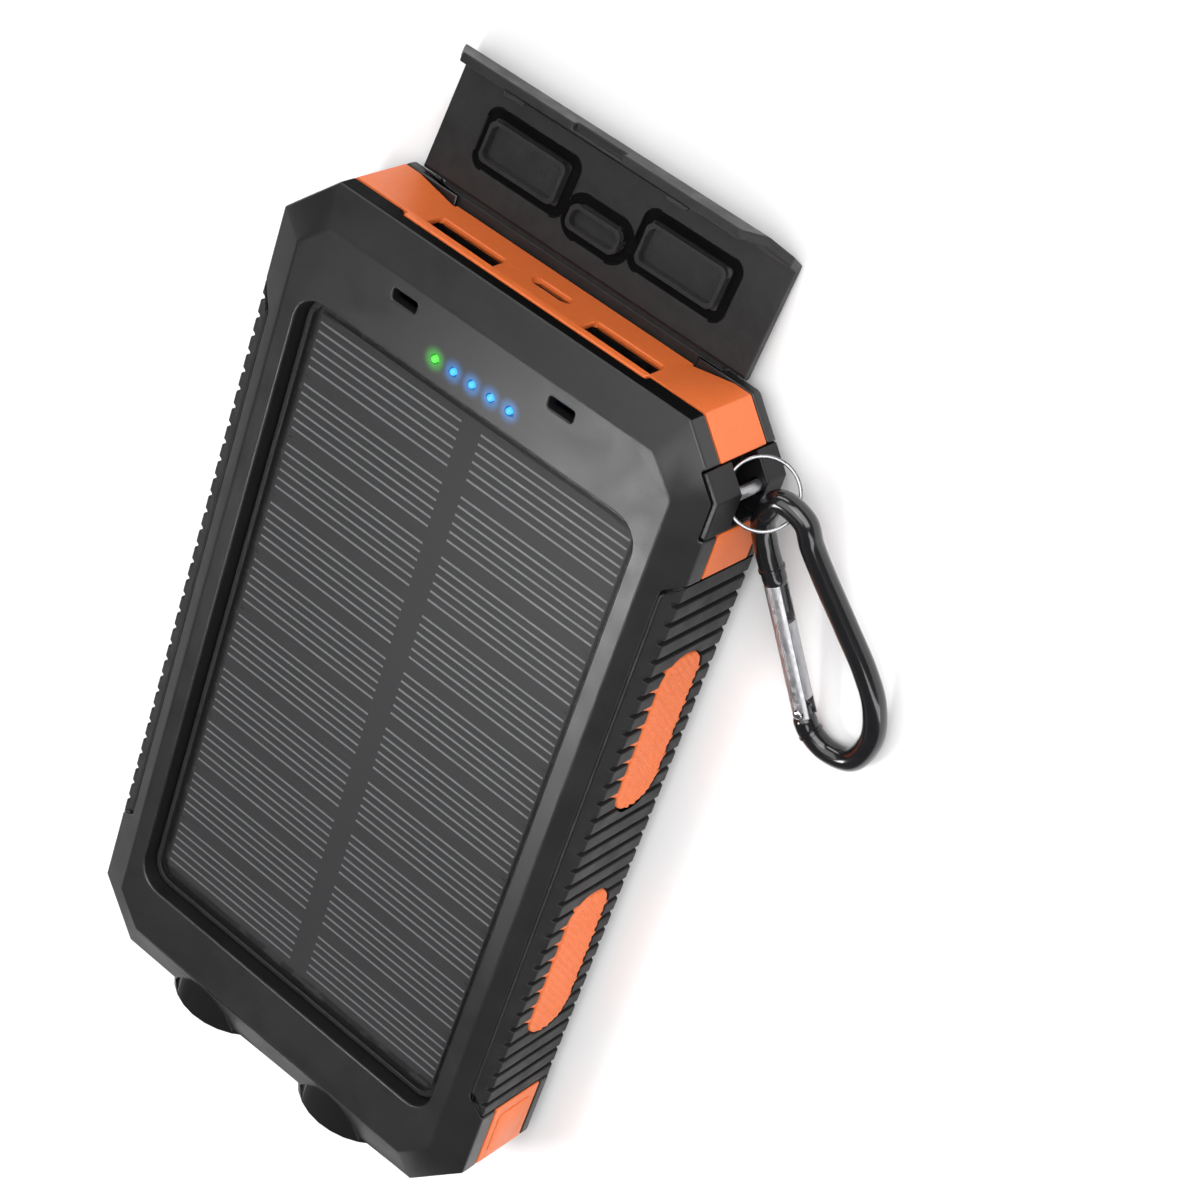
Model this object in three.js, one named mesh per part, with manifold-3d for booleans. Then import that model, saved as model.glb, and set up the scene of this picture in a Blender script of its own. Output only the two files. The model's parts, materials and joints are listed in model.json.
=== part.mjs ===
// Rugged solar phone charger: a power bank with a solar panel on its front, two torches at one end,
// covered charging ports at the other, rubber side grips, and a small carabiner on a split ring.
// Millimetres, +Z up. The charger lies on its back: the origin is the centre of the back face,
// +Y points to the ports, -Y to the torches, and the solar panel faces +Z.

import * as THREE from "three";
import { ConvexGeometry } from "three/addons/geometries/ConvexGeometry.js";
import { mergeVertices } from "three/addons/utils/BufferGeometryUtils.js";
import Module from "manifold-3d";

const wasm = await Module();
wasm.setup();

// ---------------------------------------------------------------- driving dimensions

const GAP = 0.3; // clearance between neighbouring pieces
const WALL = 2.0; // moulded wall

const CASE = { width: 80, length: 143.3, thickness: 22 };
const CORNER = { x: 8.15, y: 8.47 }; // cut of the outline's four corners
const BEVEL = { inset: 5.6, backRim: 3.4, frontRim: 19.5 }; // sloping border of the back and front faces
const FLAT_CUT = 4.9; // corner cut of the back and front flats, inside the bevels
const SEAM = { back: 5.2, front: 16.3 }; // where the shells meet the orange frame

const PANEL = { halfX: 31.6, yMin: -56.5, yMax: 54.7, corner: 4.2, top: 19.2 }; // opening in the front
const PANEL_FRAME = { inner: 30.4, low: 18.4, high: 19.45 }; // the gasket between the bezel and the sheet
const PANEL_BOARD = { halfX: 32.9, margin: 1.3, top: 18.1 };
const PANEL_REBATE = { halfX: 33.2, margin: 1.6, top: 18.4 }; // the bezel's inner step that takes the board
const CELLS = { rows: 10, pitch: 10.5, inner: 1.6, outer: 29.4 }; // ten rows in two strings
const CELL_LAYERS = { backing: 18.4, backingTop: 18.55, top: 18.7, seam: 0.3 };
const SHEET_UNDERSIDE = 18.95;

const GRIP = { inner: 37.4, outer: 39.8, yMin: -51, yMax: 49.5, seamY: 47, seamZ: 20.65 };
const RIB = { count: 31, pitch: 3.16, firstY: -48.4, groove: 0.9, depth: 0.9 };
const PAD = { length: 27.6, height: 9.2, outer: 40, z: 11.2, yOnRight: [-23.05, 21.3] };

const PORT_X = 14.4; // the two USB sockets sit this far either side of the middle
const PORT_PLATE = { y: 70.25, halfX: 22, rampX: 29, zMin: 4.9, zMax: 17.0, ledge: 15.6, skin: 0.9 };
const PORT_WALL = 67.6; // inner face of the thicker wall round the ports
const USB = { width: 12.3, height: 4.8, z: 12.15, depth: 12, skin: 0.35 };
const CHARGE = { width: 7.0, height: 1.9, z: 9.7, depth: 6.5, skin: 0.3 };

const TORCH = { x: 14.3, z: 11, cup: 10.8, bezel: 9.8, lens: 7.6, front: -73.1, inner: -60 };
const INDICATOR = { y: 58.2, pitch: 3.45, radius: 0.5, count: 5 };
const LATCH_SLOT = { width: 4.4, length: 1.7, y: 63.1 };

const COVER = { width: 59.2, thickness: 1.4, openDegrees: 100, hingeY: 72.65, hingeZ: 3.8 };
const COVER_LIP = { tipY: 62.3, tipHalfX: 24.5, bendY: 66, bendHalfX: 27, shoulderY: 70, noseHalfX: 4.3 };
const SEAL = { wall: 0.6, reach: 1.25 }; // the rims inside the cover that close round the ports
const STRIP = { halfX: 26, inner: 68.6, low: 3.2, high: 4.5 }; // the rubber strip that carries the cover

const LUG = { x: 33.8, y: 57.4, cutX: 36.8, cutY: 66.5, gapLow: 7.9, gapHigh: 13.9 };
const POST = { x: 38.5, y: 61.7, radius: 0.9 };
const RING = { centre: [40.77, 62.46, 9.82], radius: 5, wire: 0.4, leanAzimuth: 57.2, lean: 42.3 };
const CARABINER = { eye: [43.67, 63.17, 10.08], heading: -61.6, wire: 1.78, restZ: 1.9 };

const SCREW = { x: 29.8, y: 62.4, head: 1.9, shank: 0.9, length: 12.5 };
const BOSS = { back: 3.3, front: 2.8 };
const FLOOR = 1.8; // thickness of the back

const MAIN_BOARD = { halfX: 25.5, y: [45.5, 67.2], z: [5.9, 7.4] };
const BATTERY = { halfX: 31, y: [-51, 41], z: [2.2, 9.2], thickness: 6.4, corner: 1.5 };
const LEAD_RADIUS = 0.5;

const halfX = CASE.width / 2;
const halfY = CASE.length / 2;

// ---------------------------------------------------------------- materials

function finish(colour, roughness, metalness = 0) {
  return new THREE.MeshStandardMaterial({ color: colour, roughness, metalness });
}

const greyPlastic = finish(0x3a3a3b, 0.55);
const orangePlastic = finish(0xe8743a, 0.5);
const blackRubber = finish(0x1c1c1d, 0.8);
const blackPlastic = finish(0x101011, 0.45);
const cellSilicon = finish(0x2f3032, 0.4);
const clearSheet = finish(0xd8dde0, 0.15);
const nickel = finish(0xc9cbcd, 0.25, 1);
const blackEnamel = finish(0x0b0b0c, 0.18, 0.6);
const mirrorFilm = finish(0xe9e9ec, 0.1, 1);
const lensPlastic = finish(0xf6f4ee, 0.1);
const ledPhosphor = finish(0xfff3c4, 0.5);
const circuitGreen = finish(0x1d4a34, 0.6);
const pouchFoil = finish(0xa9adb2, 0.35, 0.7);
const redWire = finish(0xb3231c, 0.6);
const blackWire = finish(0x161617, 0.6);
const greenLight = finish(0x3cdc46, 0.3);
const blueLight = finish(0x3ca0ff, 0.3);

// ---------------------------------------------------------------- solids and booleans

function solid(geometry) {
  const bare = geometry.clone();
  bare.deleteAttribute("normal");
  bare.deleteAttribute("uv");
  const merged = mergeVertices(bare, 1e-4);
  return new wasm.Manifold(
    new wasm.Mesh({
      numProp: 3,
      vertProperties: merged.attributes.position.array,
      triVerts: new Uint32Array(merged.index.array),
    }),
  );
}

function geometryOf(manifold) {
  const mesh = manifold.getMesh();
  const geometry = new THREE.BufferGeometry();
  geometry.setAttribute("position", new THREE.BufferAttribute(mesh.vertProperties, 3));
  geometry.setIndex(new THREE.BufferAttribute(mesh.triVerts, 1));
  geometry.computeVertexNormals();
  return geometry;
}

function joined(...pieces) {
  return pieces.reduce((whole, piece) => whole.add(piece));
}

function cut(body, ...tools) {
  return tools.reduce((rest, tool) => rest.subtract(tool), body);
}

function block(x0, x1, y0, y1, z0, z1) {
  const box = new THREE.BoxGeometry(x1 - x0, y1 - y0, z1 - z0);
  return solid(box.translate((x0 + x1) / 2, (y0 + y1) / 2, (z0 + z1) / 2));
}

// A prism standing on a flat outline in X and Y, from z0 to z1.
function prism(shape, z0, z1, curveSegments = 3) {
  const options = { depth: z1 - z0, bevelEnabled: false, curveSegments };
  return solid(new THREE.ExtrudeGeometry(shape, options).translate(0, 0, z0));
}

// A prism along X from x0 to x1, on an outline whose points are [y, z].
function prismAlongX(points, x0, x1) {
  const shape = new THREE.Shape(points.map(([y, z]) => new THREE.Vector2(y, z)));
  const geometry = new THREE.ExtrudeGeometry(shape, { depth: x1 - x0, bevelEnabled: false });
  const axes = new THREE.Matrix4().makeBasis(
    new THREE.Vector3(0, 1, 0),
    new THREE.Vector3(0, 0, 1),
    new THREE.Vector3(1, 0, 0),
  );
  return solid(geometry.applyMatrix4(axes).translate(x0, 0, 0));
}

// A prism along Y from y0 to y1, on an outline drawn in X and Z.
function prismAlongY(shape, y0, y1, curveSegments = 3) {
  const options = { depth: y1 - y0, bevelEnabled: false, curveSegments };
  const geometry = new THREE.ExtrudeGeometry(shape, options);
  return solid(geometry.rotateX(Math.PI / 2).translate(0, y1, 0));
}

function roundedRect(x0, x1, y0, y1, radius) {
  const shape = new THREE.Shape();
  shape.moveTo(x0 + radius, y0);
  shape.lineTo(x1 - radius, y0);
  shape.absarc(x1 - radius, y0 + radius, radius, -Math.PI / 2, 0, false);
  shape.absarc(x1 - radius, y1 - radius, radius, 0, Math.PI / 2, false);
  shape.absarc(x0 + radius, y1 - radius, radius, Math.PI / 2, Math.PI, false);
  shape.absarc(x0 + radius, y0 + radius, radius, Math.PI, 1.5 * Math.PI, false);
  return shape;
}

function rodAlongY(radius, y0, y1, x, z, segments = 28) {
  const rod = new THREE.CylinderGeometry(radius, radius, y1 - y0, segments);
  return solid(rod.translate(x, (y0 + y1) / 2, z));
}

function rodAlongZ(radius, z0, z1, x, y, segments = 12) {
  const rod = new THREE.CylinderGeometry(radius, radius, z1 - z0, segments);
  return solid(rod.rotateX(Math.PI / 2).translate(x, y, (z0 + z1) / 2));
}

// A round bar that follows a curve.
function bar(curve, radius, steps, sides) {
  const shape = new THREE.Shape();
  for (let i = 0; i < sides; i += 1) {
    const angle = (2 * Math.PI * i) / sides;
    const point = [radius * Math.cos(angle), radius * Math.sin(angle)];
    if (i === 0) shape.moveTo(...point);
    else shape.lineTo(...point);
  }
  return new THREE.ExtrudeGeometry(shape, { steps, extrudePath: curve, bevelEnabled: false });
}

// ---------------------------------------------------------------- the scene graph

const charger = new THREE.Group();

function place(name, form, material, parent = charger) {
  const geometry = form.isBufferGeometry ? form : geometryOf(form);
  const mesh = new THREE.Mesh(geometry, material);
  mesh.name = name;
  parent.add(mesh);
  return mesh;
}

// ---------------------------------------------------------------- the case's outer form

function octagon(x, y, cutX, cutY) {
  return [
    [x - cutX, y],
    [x, y - cutY],
    [x, cutY - y],
    [x - cutX, -y],
    [cutX - x, -y],
    [-x, cutY - y],
    [-x, y - cutY],
    [cutX - x, y],
  ];
}

function octagonShape(inset) {
  const trim = inset * (2 - Math.SQRT2);
  const points = octagon(halfX - inset, halfY - inset, CORNER.x - trim, CORNER.y - trim);
  return new THREE.Shape(points.map(([x, y]) => new THREE.Vector2(x, y)));
}

const envelopePoints = [];
for (const z of [BEVEL.backRim, BEVEL.frontRim]) {
  for (const [x, y] of octagon(halfX, halfY, CORNER.x, CORNER.y)) {
    envelopePoints.push(new THREE.Vector3(x, y, z));
  }
}
for (const z of [0, CASE.thickness]) {
  for (const [x, y] of octagon(halfX - BEVEL.inset, halfY - BEVEL.inset, FLAT_CUT, FLAT_CUT)) {
    envelopePoints.push(new THREE.Vector3(x, y, z));
  }
}
const envelope = solid(new ConvexGeometry(envelopePoints));

function slice(z0, z1) {
  return envelope.intersect(block(-halfX - 1, halfX + 1, -halfY - 1, halfY + 1, z0, z1));
}

// Side outline of a grip, with its ends running out to the rims along the bevels.
function gripOutline(gap) {
  const top = GRIP.seamZ + gap;
  const bottom = CASE.thickness - top;
  const y0 = GRIP.yMin - gap;
  const y1 = GRIP.yMax + gap;
  const seam = GRIP.seamY + gap;
  return [
    [y0, BEVEL.backRim],
    [-seam, bottom],
    [seam, bottom],
    [y1, BEVEL.backRim],
    [y1, BEVEL.frontRim],
    [seam, top],
    [-seam, top],
    [y0, BEVEL.frontRim],
  ];
}

// The left side of the case is its right side turned half round.
const rightGripRoom = prismAlongX(gripOutline(GAP), GRIP.inner - GAP, halfX + 1);
const gripRoom = [rightGripRoom, rightGripRoom.rotate([0, 0, 180])];

function lugOutline(gap) {
  const out = 4;
  return new THREE.Shape([
    new THREE.Vector2(LUG.x - gap, LUG.y - gap),
    new THREE.Vector2(halfX + out, LUG.y - gap),
    new THREE.Vector2(halfX + out, LUG.cutY + out),
    new THREE.Vector2(LUG.cutX + out - gap, LUG.cutY + out),
    new THREE.Vector2(LUG.cutX - gap, LUG.cutY),
    new THREE.Vector2(LUG.x - gap, LUG.cutY - LUG.cutX + LUG.x),
  ]);
}
const lugRoom = prism(lugOutline(GAP), BEVEL.backRim - GAP, BEVEL.frontRim + GAP);

const torchRooms = [TORCH.x, -TORCH.x].map((x) => {
  return rodAlongY(TORCH.bezel + GAP, TORCH.front - 1, TORCH.inner + 0.2, x, TORCH.z);
});

// The outer cups that stand over the bevels round each torch.
const torchCups = [TORCH.x, -TORCH.x].map((x) => {
  return rodAlongY(TORCH.cup, TORCH.front - 0.1, TORCH.inner, x, TORCH.z);
});

const screwPlaces = [
  ["front_right", SCREW.x, SCREW.y - 1],
  ["front_left", -SCREW.x, SCREW.y],
  ["rear_right", SCREW.x, -SCREW.y],
  ["rear_left", -SCREW.x, -SCREW.y],
];

function levelCut(z0, z1) {
  return block(-halfX - 5, halfX + 5, -halfY - 5, halfY + 5, z0, z1);
}

// ---------------------------------------------------------------- back shell

function backShell() {
  const bosses = screwPlaces.map(([, x, y]) => rodAlongZ(BOSS.back, FLOOR / 2, SEAM.back, x, y));
  const holes = screwPlaces.map(([, x, y]) => {
    const headRoom = rodAlongZ(SCREW.head + GAP, -1, FLOOR - 0.2, x, y);
    return rodAlongZ(SCREW.shank + GAP, -1, SEAM.back + 1, x, y).add(headRoom);
  });
  const cupWalls = torchCups.map((cup) => cup.intersect(levelCut(-1, SEAM.back)));
  const hollow = prism(octagonShape(5), FLOOR, SEAM.back + 1);
  const shell = joined(slice(0, SEAM.back).subtract(hollow), ...bosses, ...cupWalls);
  const plateRoom = block(
    -PORT_PLATE.halfX - GAP,
    PORT_PLATE.halfX + GAP,
    PORT_WALL - 1.6,
    halfY + 1,
    PORT_PLATE.zMin - GAP,
    SEAM.back + 1,
  );
  // The rubber strip that carries the port cover lies in this groove of the end wall.
  const stripX = STRIP.halfX + GAP;
  const stripRoom = block(-stripX, stripX, STRIP.inner - GAP, halfY + 1, STRIP.low - GAP, STRIP.high + GAP);
  return cut(shell, ...holes, ...torchRooms, ...gripRoom, lugRoom, plateRoom, stripRoom);
}

// ---------------------------------------------------------------- orange middle frame

// A port's opening is as wide as the socket's inside in the plate's skin, and takes the socket behind it.
function portOpening(size, x, corner) {
  return [[0, halfY + 1], [size.skin + GAP, PORT_PLATE.y - PORT_PLATE.skin]].map(([margin, face]) => {
    const across = size.width / 2 + margin;
    const up = size.height / 2 + margin;
    const outline = roundedRect(x - across, x + across, -size.z - up, -size.z + up, corner);
    return prismAlongY(outline, 60, face).mirror([0, 0, 1]);
  });
}

function middleFrame() {
  const low = SEAM.back + GAP;
  const high = SEAM.front - GAP;
  const band = slice(low, high);
  const hollowPoints = octagon(35, halfY - WALL, CORNER.x - 1.5, CORNER.y - 1.5);
  const hollowShape = new THREE.Shape(hollowPoints.map(([x, y]) => new THREE.Vector2(x, y)));
  const hollow = prism(hollowShape, low - 1, high + 1).intersect(
    block(-halfX, halfX, -halfY, PORT_WALL, 0, CASE.thickness),
  );
  const plateX = [-PORT_PLATE.halfX, PORT_PLATE.halfX];
  const plate = block(...plateX, PORT_WALL, PORT_PLATE.y + 0.15, PORT_PLATE.zMin, PORT_PLATE.zMax);
  const ledge = block(...plateX, PORT_WALL, halfY, PORT_PLATE.ledge, PORT_PLATE.zMax);
  const bezelBack = TORCH.front + 3.8;
  const bezels = [TORCH.x, -TORCH.x].map((x) => rodAlongY(TORCH.bezel, TORCH.front, bezelBack, x, TORCH.z));
  const lensBores = [TORCH.x, -TORCH.x].map((x) => {
    return rodAlongY(TORCH.lens + GAP, TORCH.front - 1, TORCH.inner, x, TORCH.z);
  });
  // The ports sit under a ledge, in a shallow recess that ramps back up to the band at both ends.
  const recess = new THREE.Shape([
    new THREE.Vector2(-PORT_PLATE.rampX, halfY),
    new THREE.Vector2(-PORT_PLATE.halfX, PORT_PLATE.y),
    new THREE.Vector2(PORT_PLATE.halfX, PORT_PLATE.y),
    new THREE.Vector2(PORT_PLATE.rampX, halfY),
    new THREE.Vector2(PORT_PLATE.rampX, halfY + 1),
    new THREE.Vector2(-PORT_PLATE.rampX, halfY + 1),
  ]);
  return cut(
    joined(band.subtract(hollow), plate, ledge, ...bezels),
    ...lensBores,
    prism(recess, PORT_PLATE.zMin - 1, PORT_PLATE.ledge),
    ...portOpening(USB, PORT_X, 0.5),
    ...portOpening(USB, -PORT_X, 0.5),
    ...portOpening(CHARGE, 0, 0.9),
    ...gripRoom,
    lugRoom,
  );
}

// ---------------------------------------------------------------- front bezel

function frontBezel() {
  const panelRoom = prism(
    roundedRect(-PANEL.halfX, PANEL.halfX, PANEL.yMin, PANEL.yMax, PANEL.corner),
    SEAM.front - 1,
    CASE.thickness + 1,
  );
  const rebate = block(
    -PANEL_REBATE.halfX,
    PANEL_REBATE.halfX,
    PANEL.yMin - PANEL_REBATE.margin,
    PANEL.yMax + PANEL_REBATE.margin,
    SEAM.front - 1,
    PANEL_REBATE.top,
  );
  // A hollow under the border at the port end, for the light guides and the board's tall parts.
  const pocket = block(-26, 26, PANEL.yMax + 3.4, 67, SEAM.front - 1, CASE.thickness - WALL);
  const bosses = screwPlaces.map(([, x, y]) => rodAlongZ(BOSS.front, SEAM.back + GAP, 17, x, y));
  const bores = screwPlaces.map(([, x, y]) => rodAlongZ(SCREW.shank + GAP, 4, SCREW.length + 0.5, x, y));
  const cupWalls = torchCups.map((cup) => cup.intersect(levelCut(SEAM.front, 30)));
  const lights = indicatorPlaces().map(([, x]) => {
    return rodAlongZ(INDICATOR.radius + GAP, 19, 23, x, INDICATOR.y);
  });
  const slots = [PORT_X, -PORT_X].map((x) => {
    const y = LATCH_SLOT.y;
    const reach = LATCH_SLOT.length / 2;
    return block(x - LATCH_SLOT.width / 2, x + LATCH_SLOT.width / 2, y - reach, y + reach, 19, 23);
  });
  const plateRoom = block(
    -PORT_PLATE.halfX - GAP,
    PORT_PLATE.halfX + GAP,
    PORT_WALL - 1.6,
    halfY + 1,
    SEAM.front - GAP,
    PORT_PLATE.zMax + GAP,
  );
  const shell = joined(slice(SEAM.front, CASE.thickness), ...cupWalls);
  const opened = cut(shell, panelRoom, rebate, pocket, ...torchRooms, ...gripRoom, lugRoom, plateRoom);
  return cut(joined(opened, ...bosses), ...bores, ...lights, ...slots);
}

function indicatorPlaces() {
  const middle = (INDICATOR.count - 1) / 2;
  return Array.from({ length: INDICATOR.count }, (_, i) => [i + 1, (i - middle) * INDICATOR.pitch]);
}

place("back_shell", backShell(), greyPlastic);
place("middle_frame", middleFrame(), orangePlastic);
place("front_bezel", frontBezel(), greyPlastic);

for (const [name, x, y] of screwPlaces) {
  const head = rodAlongZ(SCREW.head, 0.25, 1.3, x, y);
  const shank = rodAlongZ(SCREW.shank, 1, SCREW.length, x, y);
  const socket = rodAlongZ(0.8, 0, 0.9, x, y, 6);
  place(`case_screw_${name}`, head.add(shank).subtract(socket), nickel);
}

// ---------------------------------------------------------------- side grips and their pads

function padSolid(x0, x1, y, gap) {
  const reachY = PAD.length / 2 + gap;
  const reachZ = PAD.height / 2 + gap;
  const outline = roundedRect(y - reachY, y + reachY, PAD.z - reachZ, PAD.z + reachZ, 4.2 + gap);
  const points = outline.getPoints(4).map((p) => [p.x, p.y]);
  points.pop();
  return prismAlongX(points, x0, x1);
}

function gripSolid() {
  const x = [GRIP.inner, halfX + 1];
  const body = envelope.intersect(prismAlongX(gripOutline(0), ...x));
  const trimmed = body.intersect(block(GRIP.inner, GRIP.outer, -halfY, halfY, 0, CASE.thickness));
  const grooves = Array.from({ length: RIB.count }, (_, i) => {
    const y = RIB.firstY + i * RIB.pitch;
    return block(GRIP.outer - RIB.depth, halfX + 1, y - RIB.groove / 2, y + RIB.groove / 2, 0, 22);
  });
  const windows = PAD.yOnRight.map((y) => padSolid(GRIP.inner - 1, halfX + 1, y, GAP));
  return cut(trimmed, ...grooves, ...windows);
}

const rightSide = new THREE.Group();
const leftSide = new THREE.Group();
leftSide.rotation.z = Math.PI;
charger.add(rightSide, leftSide);
place("side_grip_right", gripSolid(), blackRubber, rightSide);
place("side_grip_left", gripSolid(), blackRubber, leftSide);

for (const [i, y] of PAD.yOnRight.entries()) {
  const end = i === 0 ? "rear" : "front";
  place(`grip_pad_right_${end}`, padSolid(GRIP.inner, PAD.outer, y, 0), orangePlastic, rightSide);
}
for (const [i, y] of PAD.yOnRight.entries()) {
  const name = i === 0 ? "power_button" : "grip_pad_left_rear";
  const inner = i === 0 ? GRIP.inner + 0.9 : GRIP.inner;
  place(name, padSolid(inner, PAD.outer, y, 0), orangePlastic, leftSide);
}

// ---------------------------------------------------------------- solar panel

const panelBoard = block(
  -PANEL_BOARD.halfX,
  PANEL_BOARD.halfX,
  PANEL.yMin - PANEL_BOARD.margin,
  PANEL.yMax + PANEL_BOARD.margin,
  SEAM.front + GAP,
  PANEL_BOARD.top,
);
place("panel_board", panelBoard, blackPlastic);

const frameInner = PANEL_FRAME.inner;
const frameEdge = PANEL.halfX - frameInner;
const gasketOuter = roundedRect(
  -PANEL.halfX + GAP,
  PANEL.halfX - GAP,
  PANEL.yMin + GAP,
  PANEL.yMax - GAP,
  PANEL.corner - GAP,
);
const gasketHole = roundedRect(-frameInner, frameInner, PANEL.yMin + frameEdge, PANEL.yMax - frameEdge, 3);
gasketOuter.holes.push(gasketHole);
place("panel_gasket", prism(gasketOuter, PANEL_FRAME.low, PANEL_FRAME.high), blackRubber);

const panelMiddle = (PANEL.yMin + PANEL.yMax) / 2;
const cellsBottom = panelMiddle - (CELLS.rows * CELLS.pitch) / 2;
const cellsTop = panelMiddle + (CELLS.rows * CELLS.pitch) / 2;

// A string of cells on one backing, with a narrow seam between neighbours.
function cellString(side) {
  const x = side > 0 ? [CELLS.inner, CELLS.outer] : [-CELLS.outer, -CELLS.inner];
  const { backing, backingTop, top, seam } = CELL_LAYERS;
  const sheet = block(...x, cellsBottom, cellsTop, backing, backingTop);
  const cells = Array.from({ length: CELLS.rows }, (_, i) => {
    const y = cellsBottom + i * CELLS.pitch;
    return block(...x, y + seam / 2, y + CELLS.pitch - seam / 2, backingTop - 0.05, top);
  });
  return joined(sheet, ...cells);
}
place("solar_cells_left", cellString(-1), cellSilicon);
place("solar_cells_right", cellString(1), cellSilicon);

const sheetHalf = frameInner - GAP;
const sheetOutline = roundedRect(
  -sheetHalf,
  sheetHalf,
  PANEL.yMin + frameEdge + GAP,
  PANEL.yMax - frameEdge - GAP,
  2.7,
);
place("panel_cover_sheet", prism(sheetOutline, SHEET_UNDERSIDE, PANEL.top), clearSheet);

// ---------------------------------------------------------------- charge indicators

for (const [number, x] of indicatorPlaces()) {
  const rod = rodAlongZ(INDICATOR.radius, 19.4, CASE.thickness + 0.05, x, INDICATOR.y);
  place(`indicator_light_${number}`, rod, number === 1 ? greenLight : blueLight);
}

// ---------------------------------------------------------------- ports and circuit board

function socketShell(size, x, corner) {
  const back = PORT_PLATE.y - PORT_PLATE.skin - GAP;
  const outerX = size.width / 2 + size.skin;
  const outerZ = size.height / 2 + size.skin;
  const innerX = size.width / 2;
  const innerZ = size.height / 2;
  const outline = roundedRect(-outerX, outerX, -outerZ, outerZ, corner);
  outline.holes.push(roundedRect(-innerX, innerX, -innerZ, innerZ, corner * 0.8));
  return prismAlongY(outline, back - size.depth, back).translate([x, 0, size.z]);
}

for (const [side, x] of [["left", -PORT_X], ["right", PORT_X]]) {
  place(`usb_socket_${side}`, socketShell(USB, x, 0.4), nickel);
  // The tongue fills the upper part of the socket and steps down to the contact side.
  const tongue = block(x - 5.5, x + 5.5, 58.6, 67.6, USB.z + 0.35, USB.z + 2.1);
  const root = block(x - 5.8, x + 5.8, 57.4, 59.6, USB.z - 2.1, USB.z + 2.1);
  place(`usb_tongue_${side}`, tongue.add(root), blackPlastic);
}
place("charge_socket", socketShell(CHARGE, 0, 0.9), nickel);
const chargeTongue = block(-2.9, 2.9, 63.2, 68.6, CHARGE.z - 0.35, CHARGE.z + 0.35);
const chargeRoot = block(-3.1, 3.1, 62.9, 64, CHARGE.z - 0.75, CHARGE.z + 0.75);
place("charge_tongue", chargeTongue.add(chargeRoot), blackPlastic);

const board = block(-MAIN_BOARD.halfX, MAIN_BOARD.halfX, ...MAIN_BOARD.y, ...MAIN_BOARD.z);
const boardChips = joined(
  block(-12, -5, 49, 56, 7.2, 8.6),
  block(6, 13, 47.5, 53, 7.2, 8.4),
  block(17, 22, 48, 53, 7.2, 10.2),
);
place("main_board", board.add(boardChips), circuitGreen);

// ---------------------------------------------------------------- batteries and leads

for (const [i, name] of ["lower", "upper"].entries()) {
  const outline = roundedRect(-BATTERY.halfX, BATTERY.halfX, ...BATTERY.y, BATTERY.corner);
  const cell = prism(outline, BATTERY.z[i], BATTERY.z[i] + BATTERY.thickness);
  place(`battery_cell_${name}`, cell, pouchFoil);
}

function lead(name, points, material) {
  const knots = points.map((p) => new THREE.Vector3(...p));
  const curve = new THREE.CatmullRomCurve3(knots, false, "centripetal");
  place(name, bar(curve, LEAD_RADIUS, points.length * 2, 8), material);
}
for (const [colour, x, material] of [["red", -20, redWire], ["black", -17, blackWire]]) {
  const route = [
    [x, 41.4, 12],
    [x, 42.9, 11.6],
    [x, 44, 9.8],
    [x, 46.6, 8.4],
    [x, 49, 8.2],
  ];
  lead(`battery_lead_${colour}`, route, material);
}
for (const [side, sign] of [["left", -1], ["right", 1]]) {
  const route = [
    [sign * 23, 47.5, 8.1],
    [sign * 28.5, 44.3, 7.6],
    [sign * 32.4, 40, 7.2],
    [sign * 33, 34, 7],
    [sign * 33, -42, 7],
    [sign * 32.2, -49, 7.3],
    [sign * 27.5, -54.8, 8.3],
    [sign * 18.5, -56.8, 10.5],
  ];
  lead(`torch_lead_${side}`, route, sign > 0 ? redWire : blackWire);
}

// A small switch stands behind the power button and meets it through the frame's side wall.
const switchY = -PAD.yOnRight[0];
place("button_switch", block(-34.7, -33.9, switchY - 3, switchY + 3, 8.4, 14), blackPlastic);

// ---------------------------------------------------------------- torches

for (const [side, x] of [["left", -TORCH.x], ["right", TORCH.x]]) {
  const lensProfile = [
    [0, 0],
    [7.3, 0],
    [7.3, 1.1],
    [5.4, 1.75],
    [2.8, 2.1],
    [0, 2.2],
  ];
  const reflectorProfile = [
    [2.9, 0],
    [4.9, 3],
    [6.3, 6],
    [7.25, 9.4],
    [6.7, 9.4],
    [5.7, 6],
    [4.3, 3],
    [2.3, 0],
    [2.9, 0],
  ];
  // Turned about the torch's axis: a profile's second number is its distance towards the front.
  const turned = (profile, y) => {
    const points = profile.map(([r, h]) => new THREE.Vector2(r, h));
    return solid(new THREE.LatheGeometry(points, 24).rotateX(Math.PI).translate(x, y, TORCH.z));
  };
  place(`torch_lens_${side}`, turned(lensProfile, -71.2), lensPlastic);
  place(`torch_reflector_${side}`, turned(reflectorProfile, -61.5), mirrorFilm);
  const ledBoard = rodAlongY(5.5, -60.9, -59.9, x, TORCH.z, 16);
  const ledDome = rodAlongY(1.7, -62.2, -60.5, x, TORCH.z, 12);
  place(`torch_led_${side}`, ledBoard.add(ledDome), ledPhosphor);
}

// ---------------------------------------------------------------- port cover

// The closed cover's section, [y, z] from its hinge: a wall over the ports, a slope along the front
// bevel and a short lip on the front face.
const coverSection = (() => {
  const wall = halfY + GAP;
  const t = COVER.thickness;
  const points = [
    [wall, COVER.hingeZ],
    [wall + t, COVER.hingeZ],
    [wall + t, 20.55],
    [66.15, 23.7],
    [COVER_LIP.tipY, 23.7],
    [COVER_LIP.tipY, 22.3],
    [65.85, 22.3],
    [wall, 19.65],
  ];
  return points.map(([y, z]) => [y - COVER.hingeY, z - COVER.hingeZ]);
})();

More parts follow.
